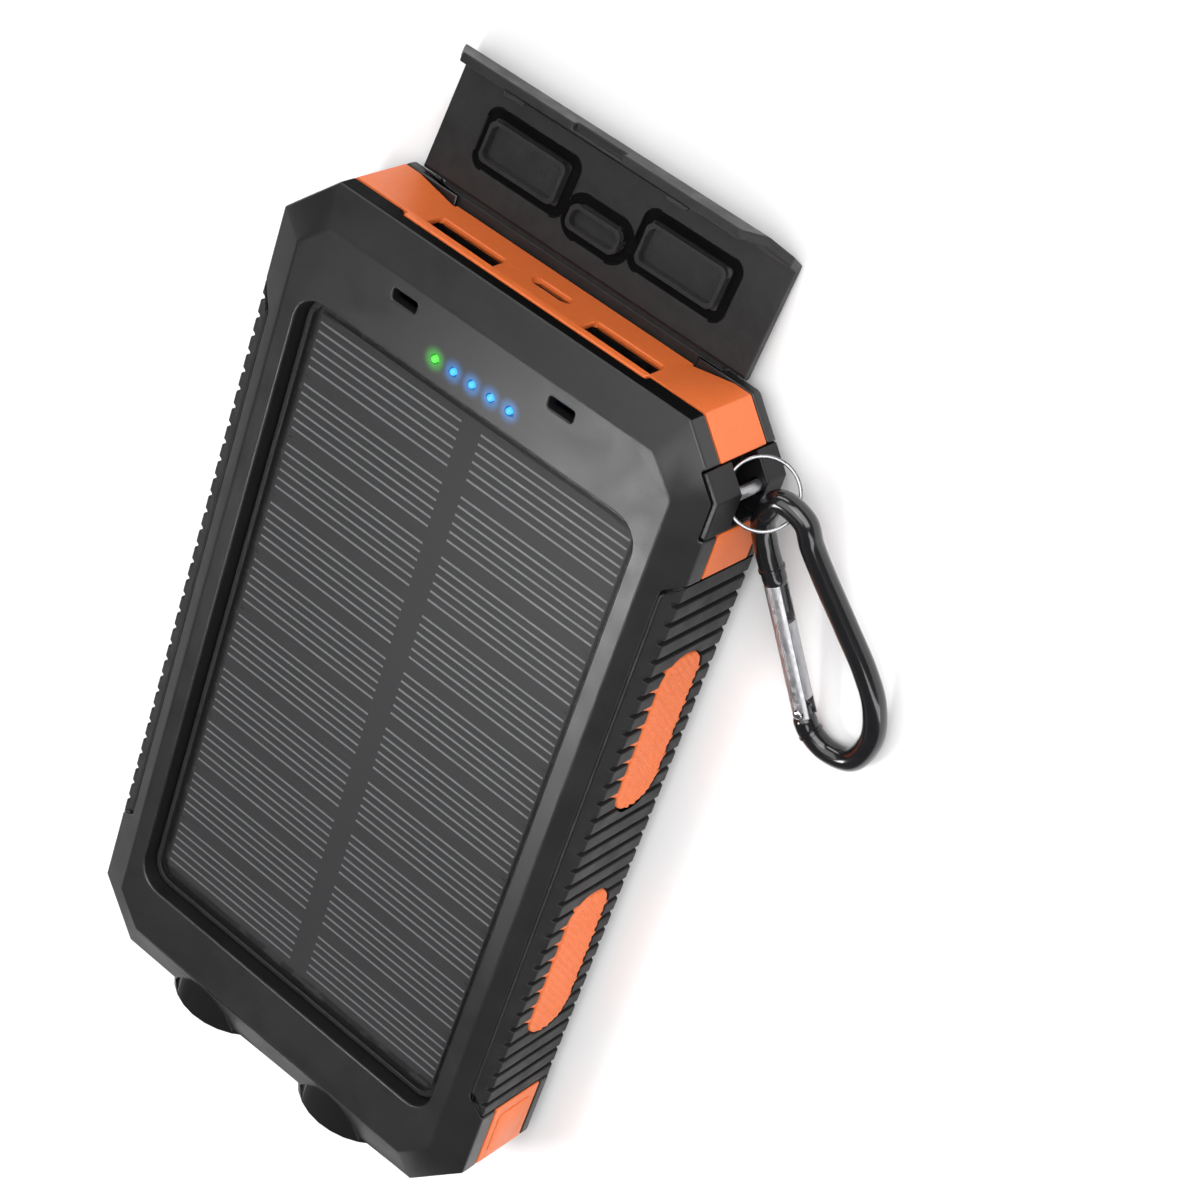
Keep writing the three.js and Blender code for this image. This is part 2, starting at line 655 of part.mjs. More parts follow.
// A hollow rubber rim that closes round a port and keeps the rain out.
function coverSeal(width, height, z, x) {
  const inner = halfY + GAP - COVER.hingeY;
  const outline = (inset) => {
    const w = width / 2 - inset;
    const h = height / 2 - inset;
    return roundedRect(x - w, x + w, -h, h, Math.min(1.3 - inset / 2, h * 0.95));
  };
  const rim = outline(0);
  rim.holes.push(outline(SEAL.wall));
  return prismAlongY(rim, inner - SEAL.reach, inner + 0.2).translate([0, 0, z - COVER.hingeZ]);
}

function portCover() {
  const half = COVER.width / 2;
  const outline = new THREE.Shape([
    new THREE.Vector2(-half, 2),
    new THREE.Vector2(-half, COVER_LIP.shoulderY - COVER.hingeY),
    new THREE.Vector2(-COVER_LIP.bendHalfX, COVER_LIP.bendY - COVER.hingeY),
    new THREE.Vector2(-COVER_LIP.tipHalfX, COVER_LIP.tipY - COVER.hingeY - 0.1),
    new THREE.Vector2(COVER_LIP.tipHalfX, COVER_LIP.tipY - COVER.hingeY - 0.1),
    new THREE.Vector2(COVER_LIP.bendHalfX, COVER_LIP.bendY - COVER.hingeY),
    new THREE.Vector2(half, COVER_LIP.shoulderY - COVER.hingeY),
    new THREE.Vector2(half, 2),
  ]);
  const skin = prismAlongX(coverSection, -half, half).intersect(prism(outline, -1, 21));
  const knuckle = new THREE.CylinderGeometry(0.7, 0.7, 2 * half, 16).rotateZ(Math.PI / 2);
  const tipY = COVER_LIP.tipY - COVER.hingeY;
  const nailNotch = block(-COVER_LIP.noseHalfX, COVER_LIP.noseHalfX, tipY - 1, tipY + 1.2, 18.9, 21);
  const tabs = [PORT_X, -PORT_X].map((x) => {
    return block(x - 1.8, x + 1.8, tipY + 0.05, tipY + 0.7, 21.65 - COVER.hingeZ, 22.6 - COVER.hingeZ);
  });
  const seals = [
    coverSeal(14, 6.3, USB.z, PORT_X),
    coverSeal(14, 6.3, USB.z, -PORT_X),
    coverSeal(9.2, 3.8, CHARGE.z, 0),
  ];
  return cut(joined(skin, solid(knuckle), ...seals, ...tabs), nailNotch);
}

const coverHinge = new THREE.Group();
coverHinge.position.set(0, COVER.hingeY, COVER.hingeZ);
coverHinge.rotation.x = THREE.MathUtils.degToRad(-COVER.openDegrees);
charger.add(coverHinge);
place("port_cover", portCover(), blackRubber, coverHinge);

// The strip that holds the cover: a bead locked in the back shell and a web out to the hinge line.
const stripBlock = block(-STRIP.halfX, STRIP.halfX, STRIP.inner, halfY, STRIP.low, STRIP.high);
place("cover_strip", stripBlock, blackRubber);

// ---------------------------------------------------------------- lug, post, ring and carabiner

function lugBlock() {
  const body = envelope.intersect(prism(lugOutline(0), BEVEL.backRim, BEVEL.frontRim));
  const mouth = block(35, halfX + 5, 58, halfY + 5, LUG.gapLow, LUG.gapHigh);
  const bore = rodAlongZ(POST.radius + GAP, 5.4, 16.4, POST.x, POST.y);
  return cut(body, mouth, bore);
}
place("lug_block", lugBlock(), blackPlastic);
place("lug_post", rodAlongZ(POST.radius, 5.7, 16.1, POST.x, POST.y), nickel);

const ring = new THREE.TorusGeometry(RING.radius, RING.wire, 6, 36);
const ringMesh = place("split_ring", ring, nickel);
ringMesh.position.set(...RING.centre);
const leanAzimuth = THREE.MathUtils.degToRad(RING.leanAzimuth);
const lean = THREE.MathUtils.degToRad(RING.lean);
const ringNormal = new THREE.Vector3(
  Math.sin(lean) * Math.cos(leanAzimuth),
  Math.sin(lean) * Math.sin(leanAzimuth),
  Math.cos(lean),
);
ringMesh.quaternion.setFromUnitVectors(new THREE.Vector3(0, 0, 1), ringNormal);

// The carabiner is drawn flat: x across, positive on the gate's side, and y along it from its eye.
const carabinerLength = 41.85;
const eyeAcross = 0.8;
const eyeAlong = 1.85;
const carabiner = new THREE.Group();
charger.add(carabiner);
const heading = THREE.MathUtils.degToRad(CARABINER.heading);
const slope = Math.asin((CARABINER.eye[2] - CARABINER.restZ) / (carabinerLength - eyeAlong));
const along = new THREE.Vector3(
  Math.cos(slope) * Math.cos(heading),
  Math.cos(slope) * Math.sin(heading),
  -Math.sin(slope),
);
const across = new THREE.Vector3(Math.sin(heading), -Math.cos(heading), 0);
const outOfPlane = new THREE.Vector3().crossVectors(across, along);
const carabinerOrigin = new THREE.Vector3(...CARABINER.eye)
  .addScaledVector(along, -eyeAlong)
  .addScaledVector(across, -eyeAcross);
const carabinerAxes = new THREE.Matrix4().makeBasis(across, along, outOfPlane);
carabiner.quaternion.setFromRotationMatrix(carabinerAxes);
carabiner.position.copy(carabinerOrigin);

const hookPath = new THREE.CatmullRomCurve3(
  [
    [4.5, 13.9],
    [4.75, 8.8],
    [4.15, 4.7],
    [0.8, 1.85],
    [-2.45, 4.6],
    [-2.75, 8.2],
    [-3.7, 13],
    [-5.4, 20],
    [-7.0, 27],
    [-7.3, 32],
    [-5.7, 37.6],
    [-1.6, 41.4],
    [2.3, 40.4],
    [4.4, 37.6],
    [4.75, 35.9],
  ].map(([x, y]) => new THREE.Vector3(x, y, 0)),
);
const gateX = 4.55;
const pivotY = 34.2;
const pinRadius = 0.5;
const pinBore = rodAlongZ(pinRadius + GAP, -3, 3, gateX, pivotY, 10);
const hook = joined(
  solid(bar(hookPath, CARABINER.wire, 48, 8)),
  block(gateX - 1.1, gateX + 1.1, 13, 19.2, -0.6, 0.6),
  block(gateX - 1.1, gateX + 1.1, 33.2, 37, -0.6, 0.6),
).subtract(pinBore);
place("carabiner_hook", hook, blackEnamel, carabiner);

const gateRadius = 1.65;
const gateTube = rodAlongY(gateRadius, 14.4, 35.1, gateX, 0, 20);
const latchSlot = block(gateX - 3, gateX + 3, 14, 20.2, -0.9, 0.9);
const pivotSlot = block(gateX - 3, gateX + 3, 32.2, 37, -0.9, 0.9);
const gate = cut(gateTube, latchSlot, pivotSlot, pinBore);
place("carabiner_gate", gate, nickel, carabiner);
place("gate_pivot_pin", rodAlongZ(pinRadius, -1.9, 1.9, gateX, pivotY, 10), nickel, carabiner);

export default charger;
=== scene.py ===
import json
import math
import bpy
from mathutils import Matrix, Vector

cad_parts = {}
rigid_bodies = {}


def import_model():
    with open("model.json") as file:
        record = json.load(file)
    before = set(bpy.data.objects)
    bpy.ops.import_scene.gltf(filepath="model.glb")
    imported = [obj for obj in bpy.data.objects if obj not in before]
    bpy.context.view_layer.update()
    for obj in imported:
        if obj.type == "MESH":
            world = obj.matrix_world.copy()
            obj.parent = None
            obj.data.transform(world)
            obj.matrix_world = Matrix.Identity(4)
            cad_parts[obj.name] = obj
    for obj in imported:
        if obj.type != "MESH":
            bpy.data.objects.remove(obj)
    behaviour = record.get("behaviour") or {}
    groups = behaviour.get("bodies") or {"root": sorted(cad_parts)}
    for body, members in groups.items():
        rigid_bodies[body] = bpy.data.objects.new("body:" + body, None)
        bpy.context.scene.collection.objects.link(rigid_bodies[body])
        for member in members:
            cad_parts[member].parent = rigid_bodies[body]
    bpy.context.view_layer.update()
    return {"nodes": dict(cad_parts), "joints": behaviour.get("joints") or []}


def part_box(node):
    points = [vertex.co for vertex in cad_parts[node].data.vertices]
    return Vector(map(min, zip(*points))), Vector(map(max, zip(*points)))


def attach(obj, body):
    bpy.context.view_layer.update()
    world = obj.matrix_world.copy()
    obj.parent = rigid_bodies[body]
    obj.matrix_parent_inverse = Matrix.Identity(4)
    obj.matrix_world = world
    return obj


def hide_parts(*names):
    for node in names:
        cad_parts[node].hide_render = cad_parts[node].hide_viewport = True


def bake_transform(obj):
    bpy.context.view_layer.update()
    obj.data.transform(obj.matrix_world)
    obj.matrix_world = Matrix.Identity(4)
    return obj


bl_info = {
    "name": "Solar Phone Charger",
    "version": (1, 0, 0),
    "blender": (4, 5, 0),
    "location": "View3D > Sidebar > Charger",
    "description": "Builds the finished look of a rugged solar phone charger round its packed parts",
    "category": "Object",
}

import bmesh
import bpy
from bpy.props import FloatProperty, FloatVectorProperty, IntProperty, PointerProperty
from mathutils import Matrix, Vector

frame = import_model()
NODES = frame["nodes"]
JOINTS = {joint["name"]: joint for joint in frame["joints"]}

MM = 0.001
X_AXIS, Y_AXIS, Z_AXIS = Vector((1, 0, 0)), Vector((0, 1, 0)), Vector((0, 0, 1))

# Places that the parts share, in metres.
TORCH_X = 14.3 * MM
TORCH_Z = 11.0 * MM
PORT_X = 14.4 * MM
GROOVE_PITCH = 3.16 * MM
FIRST_GROOVE = -48.4 * MM
GROOVES = 31
CUP_OUTER, CUP_INNER = 11.2 * MM, 10.2 * MM
CUP_BACK, CUP_FRONT = -61 * MM, -72.5 * MM
PAD_CORNER = 4.15 * MM
COVER_OPEN = math.radians(100)
HINGE = Vector(JOINTS["port_cover_hinge"]["pos_m"])


# ---------------------------------------------------------------- settings


def colour_property(name, description, value):
    return FloatVectorProperty(
        name=name, description=description, default=value, subtype="COLOR", size=3, min=0, max=1
    )


def length_property(name, description, value):
    return FloatProperty(name=name, description=description, default=value, unit="LENGTH", min=0, precision=5)


class CaseSettings(bpy.types.PropertyGroup):
    grey: colour_property("Shell grey", "Colour of the front and back shells", (0.0095, 0.0095, 0.0101))
    orange: colour_property("Frame orange", "Colour of the middle frame and pads", (0.70, 0.148, 0.033))
    black: colour_property("Gloss black", "Colour of the torch cups and the lug", (0.005, 0.005, 0.0055))
    edge_round: length_property("Edge round", "Radius on the shells' sharp edges", 0.32 * MM)
    grain: length_property("Grain size", "Size of the moulded grain on the shells", 0.16 * MM)


class GripSettings(bpy.types.PropertyGroup):
    rubber: colour_property("Rubber", "Colour of the ribbed side grips", (0.0075, 0.0075, 0.008))
    rib_round: length_property("Rib round", "Radius on the ribs' edges", 0.2 * MM)
    diamond: length_property("Diamond pitch", "Distance between the pads' small diamonds", 1.5 * MM)
    relief: length_property("Diamond relief", "Height of the pads' small diamonds", 0.22 * MM)


class PanelSettings(bpy.types.PropertyGroup):
    silicon: colour_property("Silicon", "Colour of the solar cells", (0.03, 0.03, 0.0314))
    silver: colour_property("Silver lines", "Colour of the printed collector lines", (0.17, 0.17, 0.176))
    line_pitch: length_property("Line pitch", "Distance between collector lines", 1.5 * MM)
    line_width: length_property("Line width", "Width of a collector line", 0.34 * MM)
    lines: IntProperty(name="Lines", description="Collector lines on each cell", default=6, min=1)


class IndicatorSettings(bpy.types.PropertyGroup):
    green: colour_property("Green", "Colour of the charging light", (0.08, 0.80, 0.06))
    blue: colour_property("Blue", "Colour of the four charge level lights", (0.05, 0.36, 1.0))
    glow: FloatProperty(name="Glow", description="Brightness of the lights", default=1.8, min=0)


class CoverSettings(bpy.types.PropertyGroup):
    rubber: colour_property("Cover rubber", "Colour of the port cover", (0.0125, 0.0125, 0.013))
    moat: length_property("Moat depth", "Depth of the channels round the port seals", 0.5 * MM)
    edge_round: length_property("Edge round", "Radius on the cover's edges", 0.22 * MM)


class TorchSettings(bpy.types.PropertyGroup):
    light: colour_property("Light", "Colour of the torches' light", (1.0, 0.93, 0.84))
    glow: FloatProperty(name="Glow", description="Brightness of the lenses", default=1.5, min=0)


class ClipSettings(bpy.types.PropertyGroup):
    enamel: colour_property("Enamel", "Colour of the carabiner's hook", (0.006, 0.006, 0.007))
    metal: colour_property("Metal", "Colour of the gate, ring, post and sockets", (0.52, 0.52, 0.54))
    wire: length_property("Hook wire radius", "Radius of the carabiner's wire", 1.72 * MM)


class StudioSettings(bpy.types.PropertyGroup):
    floor: colour_property("Floor", "Colour of the floor", (0.86, 0.86, 0.865))
    key: FloatProperty(name="Key light", description="Power of the main soft light", default=12.0, min=0)
    overhead: FloatProperty(
        name="Overhead light", description="Power of the overhead light", default=6, min=0
    )
    fill: FloatProperty(name="Fill light", description="Power of the side lights", default=1.3, min=0)
    sheen: FloatProperty(
        name="Sheen light", description="Power of the small light over the port end", default=0.3, min=0
    )
    sky: FloatProperty(
        name="Ambient", description="Strength of the even light all round", default=0.12, min=0
    )


# ---------------------------------------------------------------- materials


def surface(name, colour, roughness, metallic=0.0):
    """A material with its shader's plain values set, and the shader, ready for more nodes."""
    material = bpy.data.materials.new(name)
    material.use_nodes = True
    shader = material.node_tree.nodes["Principled BSDF"]
    shader.inputs["Base Color"].default_value = (*colour, 1)
    shader.inputs["Roughness"].default_value = roughness
    shader.inputs["Metallic"].default_value = metallic
    material.diffuse_color = (*colour, 1)
    return material, shader


def add_node(material, kind, **values):
    node = material.node_tree.nodes.new(kind)
    for key, value in values.items():
        if hasattr(node, key):
            setattr(node, key, value)
        else:
            node.inputs[key.replace("_", " ").title()].default_value = value
    return node


def wire(material, start, end):
    material.node_tree.links.new(start, end)


def object_place(material):
    nodes = material.node_tree.nodes
    found = nodes.get("Texture Coordinate") or nodes.new("ShaderNodeTexCoord")
    return found.outputs["Object"]


def noise(material, size, detail=2.0, roughness=0.5):
    """Noise whose features are about size metres across."""
    node = add_node(material, "ShaderNodeTexNoise", Scale=1.0 / size, Detail=detail, Roughness=roughness)
    wire(material, object_place(material), node.inputs["Vector"])
    return node.outputs["Fac"]


def remap(material, value, start, end, interpolation="LINEAR"):
    """value carried from the range start to the range end, and held at its ends."""
    node = add_node(material, "ShaderNodeMapRange", clamp=True, interpolation_type=interpolation)
    for key, number in zip(("From Min", "From Max", "To Min", "To Max"), (*start, *end)):
        node.inputs[key].default_value = number
    wire(material, value, node.inputs["Value"])
    return node.outputs["Result"]


def spread(material, value, low, high):
    """value's middle range stretched from low to high."""
    return remap(material, value, (0.3, 0.7), (low, high))


def two_tone(material, shader, first, second, factor, socket="Base Color"):
    """Colours a socket somewhere between two tones, as factor says."""
    node = add_node(material, "ShaderNodeMix", data_type="RGBA")
    node.inputs[6].default_value = (*first, 1)
    node.inputs[7].default_value = (*second, 1)
    wire(material, factor, node.inputs[0])
    wire(material, node.outputs[2], shader.inputs[socket])


def uneven_gloss(material, shader, value, low, high):
    wire(material, spread(material, value, low, high), shader.inputs["Roughness"])


def relief(material, shader, height, depth, strength=1.0):
    """Bump from a height value, laid over any bump that is there already."""
    node = add_node(material, "ShaderNodeBump")
    node.inputs["Strength"].default_value = strength
    node.inputs["Distance"].default_value = depth
    wire(material, height, node.inputs["Height"])
    normal = shader.inputs["Normal"]
    if normal.is_linked:
        wire(material, normal.links[0].from_socket, node.inputs["Normal"])
    wire(material, node.outputs["Normal"], normal)


def tint(material, shader, colour, share, value):
    """Base colour that wanders between a darker and a lighter tone of one colour."""
    darker = [c * (1 - share) for c in colour]
    lighter = [min(1, c * (1 + share)) for c in colour]
    two_tone(material, shader, darker, lighter, spread(material, value, 0, 1))


def moulded_plastic(name, colour, roughness, grain, depth, share=0.08, gloss=0.5):
    """Plastic with a fine moulded grain, uneven sheen and a slightly mottled colour."""
    material, shader = surface(name, colour, roughness)
    shader.inputs["Specular IOR Level"].default_value = gloss
    tint(material, shader, colour, share, noise(material, grain * 9, 3))
    uneven_gloss(material, shader, noise(material, grain * 40, 4), roughness - 0.05, roughness + 0.06)
    relief(material, shader, noise(material, grain, 1.5, 0.6), depth)
    return material, shader


def soft_rubber(name, colour, roughness=0.72, gloss=0.3):
    """Matte rubber: dusty colour, a fine pebble and a soft edge sheen."""
    material, shader = surface(name, colour, roughness)
    shader.inputs["Specular IOR Level"].default_value = gloss
    tint(material, shader, colour, 0.22, noise(material, 2.2 * MM, 5, 0.65))
    uneven_gloss(material, shader, noise(material, 3.5 * MM, 4), roughness - 0.12, roughness + 0.1)
    relief(material, shader, noise(material, 0.22 * MM, 2, 0.6), 0.03 * MM, 0.8)
    shader.inputs["Sheen Weight"].default_value = 0.05
    shader.inputs["Sheen Roughness"].default_value = 0.45
    return material


def plated_metal(name, colour, roughness=0.22, brushed=False):
    """Bright plating with faint handling marks; brushed adds fine lines along the piece."""
    material, shader = surface(name, colour, roughness, 1.0)
    tint(material, shader, colour, 0.05, noise(material, 1.6 * MM, 4))
    marks = noise(material, 0.9 * MM, 6, 0.7)
    uneven_gloss(material, shader, marks, roughness * 0.6, roughness * 1.5)
    if brushed:
        lines = add_node(material, "ShaderNodeTexWave", bands_direction="DIAGONAL")
        for key, number in (("Scale", 900.0), ("Distortion", 6.0), ("Detail", 3.0)):
            lines.inputs[key].default_value = number
        wire(material, object_place(material), lines.inputs["Vector"])
        relief(material, shader, lines.outputs["Fac"], 0.004 * MM, 0.5)
    return material


def gloss_paint(name, colour):
    """Stoved enamel under a clear coat, with slight orange peel."""
    material, shader = surface(name, colour, 0.2)
    tint(material, shader, colour, 0.15, noise(material, 3 * MM, 3))
    relief(material, shader, noise(material, 0.8 * MM, 1.0), 0.006 * MM, 0.5)
    shader.inputs["Coat Weight"].default_value = 0.6
    shader.inputs["Coat Roughness"].default_value = 0.05
    shader.inputs["Specular IOR Level"].default_value = 0.35
    return material


def glowing(name, colour, strength, base=(0.8, 0.8, 0.8)):
    material, shader = surface(name, base, 0.3)
    tint(material, shader, base, 0.04, noise(material, 0.6 * MM, 2))
    relief(material, shader, noise(material, 0.4 * MM, 1), 0.01 * MM, 0.4)
    shader.inputs["Emission Color"].default_value = (*colour, 1)
    shader.inputs["Emission Strength"].default_value = strength
    return material


def banded(name, colours, period, roughness, axis="Y"):
    """Fine straight lines of two close tones, as on etched silicon."""
    material, shader = surface(name, colours[0], roughness)
    shader.inputs["Specular IOR Level"].default_value = 0.15
    lines = add_node(material, "ShaderNodeTexWave", bands_direction=axis)
    lines.inputs["Scale"].default_value = math.pi / 10 / period
    wire(material, object_place(material), lines.inputs["Vector"])
    two_tone(material, shader, *colours, lines.outputs["Fac"])
    relief(material, shader, noise(material, 0.3 * MM, 3), 0.01 * MM, 0.5)
    return material, shader


def circuit_board(name, mask, copper):
    """Solder mask with copper tracks showing through it in squared-off islands."""
    material, shader = surface(name, mask, 0.35)
    cells = add_node(material, "ShaderNodeTexVoronoi", distance="CHEBYCHEV", feature="F1")
    cells.inputs["Scale"].default_value = 1 / (2.4 * MM)
    wire(material, object_place(material), cells.inputs["Vector"])
    edge = add_node(material, "ShaderNodeMath", operation="GREATER_THAN")
    edge.inputs[1].default_value = 0.52
    wire(material, cells.outputs["Distance"], edge.inputs[0])
    two_tone(material, shader, mask, copper, edge.outputs[0])
    relief(material, shader, cells.outputs["Distance"], 0.05 * MM, 0.4)
    return material


def crinkled_foil(name, colour):
    material, shader = surface(name, colour, 0.35, 0.9)
    tint(material, shader, colour, 0.1, noise(material, 6 * MM, 5))
    relief(material, shader, noise(material, 5 * MM, 6, 0.6), 0.25 * MM, 0.7)
    return material


def paint(piece, *materials):
    """Gives a piece its materials, each one either made here or called by its name."""
    piece.data.materials.clear()
    for material in materials:
        made = material_named(material) if isinstance(material, str) else material
        piece.data.materials.append(made)


def material_named(name):
    found = bpy.data.materials.get(name)
    if found is None:
        raise RuntimeError(f"the material {name} hasn't been mixed yet")
    return found


# ---------------------------------------------------------------- meshes


def add_piece(name, form, body, material_slot, *materials, replaced=(), smooth=40):
    """Turns a bmesh into a named piece that rides on a body."""
    mesh = bpy.data.meshes.new(name)
    bmesh.ops.recalc_face_normals(form, faces=form.faces)
    form.to_mesh(mesh)
    form.free()
    piece = bpy.data.objects.new(name, mesh)
    bpy.context.scene.collection.objects.link(piece)
    paint(piece, *materials)
    mesh.shade_smooth()
    mesh.set_sharp_from_angle(angle=math.radians(smooth))
    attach(piece, body)
    if replaced:
        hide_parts(*replaced)
    return piece


def cad_form(node, split=False):
    """A CAD node's mesh with its flat faces made whole again; split halves the many-sided ones."""
    form = bmesh.new()
    form.from_mesh(NODES[node].data)
    bmesh.ops.remove_doubles(form, verts=form.verts, dist=0.003 * MM)
    bmesh.ops.dissolve_limit(form, angle_limit=math.radians(0.8), verts=form.verts, edges=form.edges)
    if split:
        bmesh.ops.triangulate(form, faces=[face for face in form.faces if len(face.verts) > 4])
    return form


def round_edges(piece, radius, segments=3, angle=22, shortest=2.2):
    """Rounds the edges that turn by more than angle and are long enough for the radius."""
    mesh = piece.data
    form = bmesh.new()
    form.from_mesh(mesh)
    layer = form.edges.layers.float.new("bevel_weight_edge")
    for edge in form.edges:
        turns = len(edge.link_faces) == 2 and edge.calc_face_angle(0) > math.radians(angle)
        edge[layer] = 1.0 if turns and edge.calc_length() > shortest * radius else 0.0
    form.to_mesh(mesh)
    form.free()
    bevel = piece.modifiers.new("Round edges", "BEVEL")
    bevel.limit_method = "WEIGHT"
    bevel.width = radius
    bevel.segments = segments
    bevel.use_clamp_overlap = False
    bevel.harden_normals = False
    bevel.miter_outer = "MITER_ARC"
    return bevel


def finish_modifiers(piece):
    """Makes the modifiers' result the piece's own mesh."""
    graph = bpy.context.evaluated_depsgraph_get()
    mesh = bpy.data.meshes.new_from_object(piece.evaluated_get(graph))
    piece.modifiers.clear()
    old = piece.data
    piece.data = mesh
    bpy.data.meshes.remove(old)
    return mesh


def even_shading(piece, smooth=40):
    """Smooth shading that follows the large faces, broken at edges that turn by more than smooth."""
    piece.data.shade_smooth()
    piece.data.set_sharp_from_angle(angle=math.radians(smooth))
    normals = piece.modifiers.new("Weighted normals", "WEIGHTED_NORMAL")
    normals.keep_sharp = True
    normals.weight = 90
    return finish_modifiers(piece)


def refine(node, name, body, material_slot, *materials, radius=0.3 * MM, segments=3, smooth=40, split=False):
    """A piece made from a CAD node, with its edges rounded."""
    piece = add_piece(
        name, cad_form(node, split), body, material_slot, *materials, replaced=(node,), smooth=smooth
    )
    round_edges(piece, radius, segments)
    finish_modifiers(piece)
    even_shading(piece, smooth)
    return piece


def rounded_outline(width, height, radius, steps=6):
    """Points round a rectangle with round corners, centred on zero, anticlockwise."""
    points = []
    for turn, (sx, sy) in enumerate(((1, -1), (1, 1), (-1, 1), (-1, -1))):
        centre = (sx * (width / 2 - radius), sy * (height / 2 - radius))
        for step in range(steps + 1):
            angle = math.pi / 2 * (turn - 1 + step / steps)
            points.append((centre[0] + radius * math.cos(angle), centre[1] + radius * math.sin(angle)))
    return points


def loft(form, rings):
    """Joins rings of points, each the same length, with bands of faces, and closes the ends."""
    loops = [[form.verts.new(point) for point in ring] for ring in rings]
    for lower, upper in zip(loops, loops[1:]):
        for i in range(len(lower)):
            j = (i + 1) % len(lower)
            form.faces.new((lower[i], lower[j], upper[j], upper[i]))
    form.faces.new(list(reversed(loops[0])))
    form.faces.new(loops[-1])


def add_box(form, low, high):
    corners = [
        form.verts.new((x, y, z))
        for z in (low[2], high[2])
        for y in (low[1], high[1])
        for x in (low[0], high[0])
    ]
    for face in ((0, 2, 3, 1), (4, 5, 7, 6), (0, 1, 5, 4), (1, 3, 7, 5), (3, 2, 6, 7), (2, 0, 4, 6)):
        form.faces.new([corners[i] for i in face])


def section(centre, u, v, radius, steps):
    """Points round a circle in the plane of u and v."""
    angles = [2 * math.pi * k / steps for k in range(steps)]
    return [centre + u * radius * math.cos(a) + v * radius * math.sin(a) for a in angles]


def lathe(form, profile, centre, steps=48):
    """Turns a profile of (radius, y) round an axis along Y through centre."""
    places = [(radius, Vector((centre.x, y, centre.z))) for radius, y in profile]
    loft(form, [section(place, X_AXIS, Z_AXIS, radius, steps) for radius, place in places])


def smooth_path(knots, per_span=8):
    """Points along a curve through the knots, without overshoot where they bunch up."""
    knots = [Vector(knot) for knot in knots]
    ends = [2 * knots[0] - knots[1], *knots, 2 * knots[-1] - knots[-2]]
    points = []
    for i in range(1, len(ends) - 2):
        p0, p1, p2, p3 = ends[i - 1 : i + 3]
        d0, d1, d2 = [math.sqrt(max((b - a).length, 1e-9)) for a, b in ((p0, p1), (p1, p2), (p2, p3))]
        m1 = ((p1 - p0) / d0 - (p2 - p0) / (d0 + d1) + (p2 - p1) / d1) * d1
        m2 = ((p2 - p1) / d1 - (p3 - p1) / (d1 + d2) + (p3 - p2) / d2) * d1
        for step in range(per_span):
            t = step / per_span
            points.append(
                (2 * t**3 - 3 * t**2 + 1) * p1 + (t**3 - 2 * t**2 + t) * m1 + (3 * t**2 - 2 * t**3) * p2
                + (t**3 - t**2) * m2
            )
    points.append(knots[-1])
    return points


def sweep(form, path, radius, side, steps=20, round_ends=0):
    """A bar of round section along a path; side is a direction that stays across it."""
    rings = []
    for i, point in enumerate(path):
        along = (path[min(i + 1, len(path) - 1)] - path[max(i - 1, 0)]).normalized()
        u = side.cross(along).normalized()
        v = along.cross(u).normalized()
        rings.append(section(point, u, v, radius, steps))
    if round_ends:
        for end, towards in ((0, path[0] - path[1]), (-1, path[-1] - path[-2])):
            out = towards.normalized()
            centre = sum(rings[end], Vector()) / steps
            caps = []
            for k in range(1, round_ends + 1):
                angle = math.pi / 2 * k / (round_ends + 0.6)
                caps.append(
                    [
                        centre + (p - centre) * math.cos(angle) + out * radius * 0.8 * math.sin(angle)
                        for p in rings[end]
                    ]
                )
            rings = list(reversed(caps)) + rings if end == 0 else rings + caps
    loft(form, rings)


# ---------------------------------------------------------------- pieces


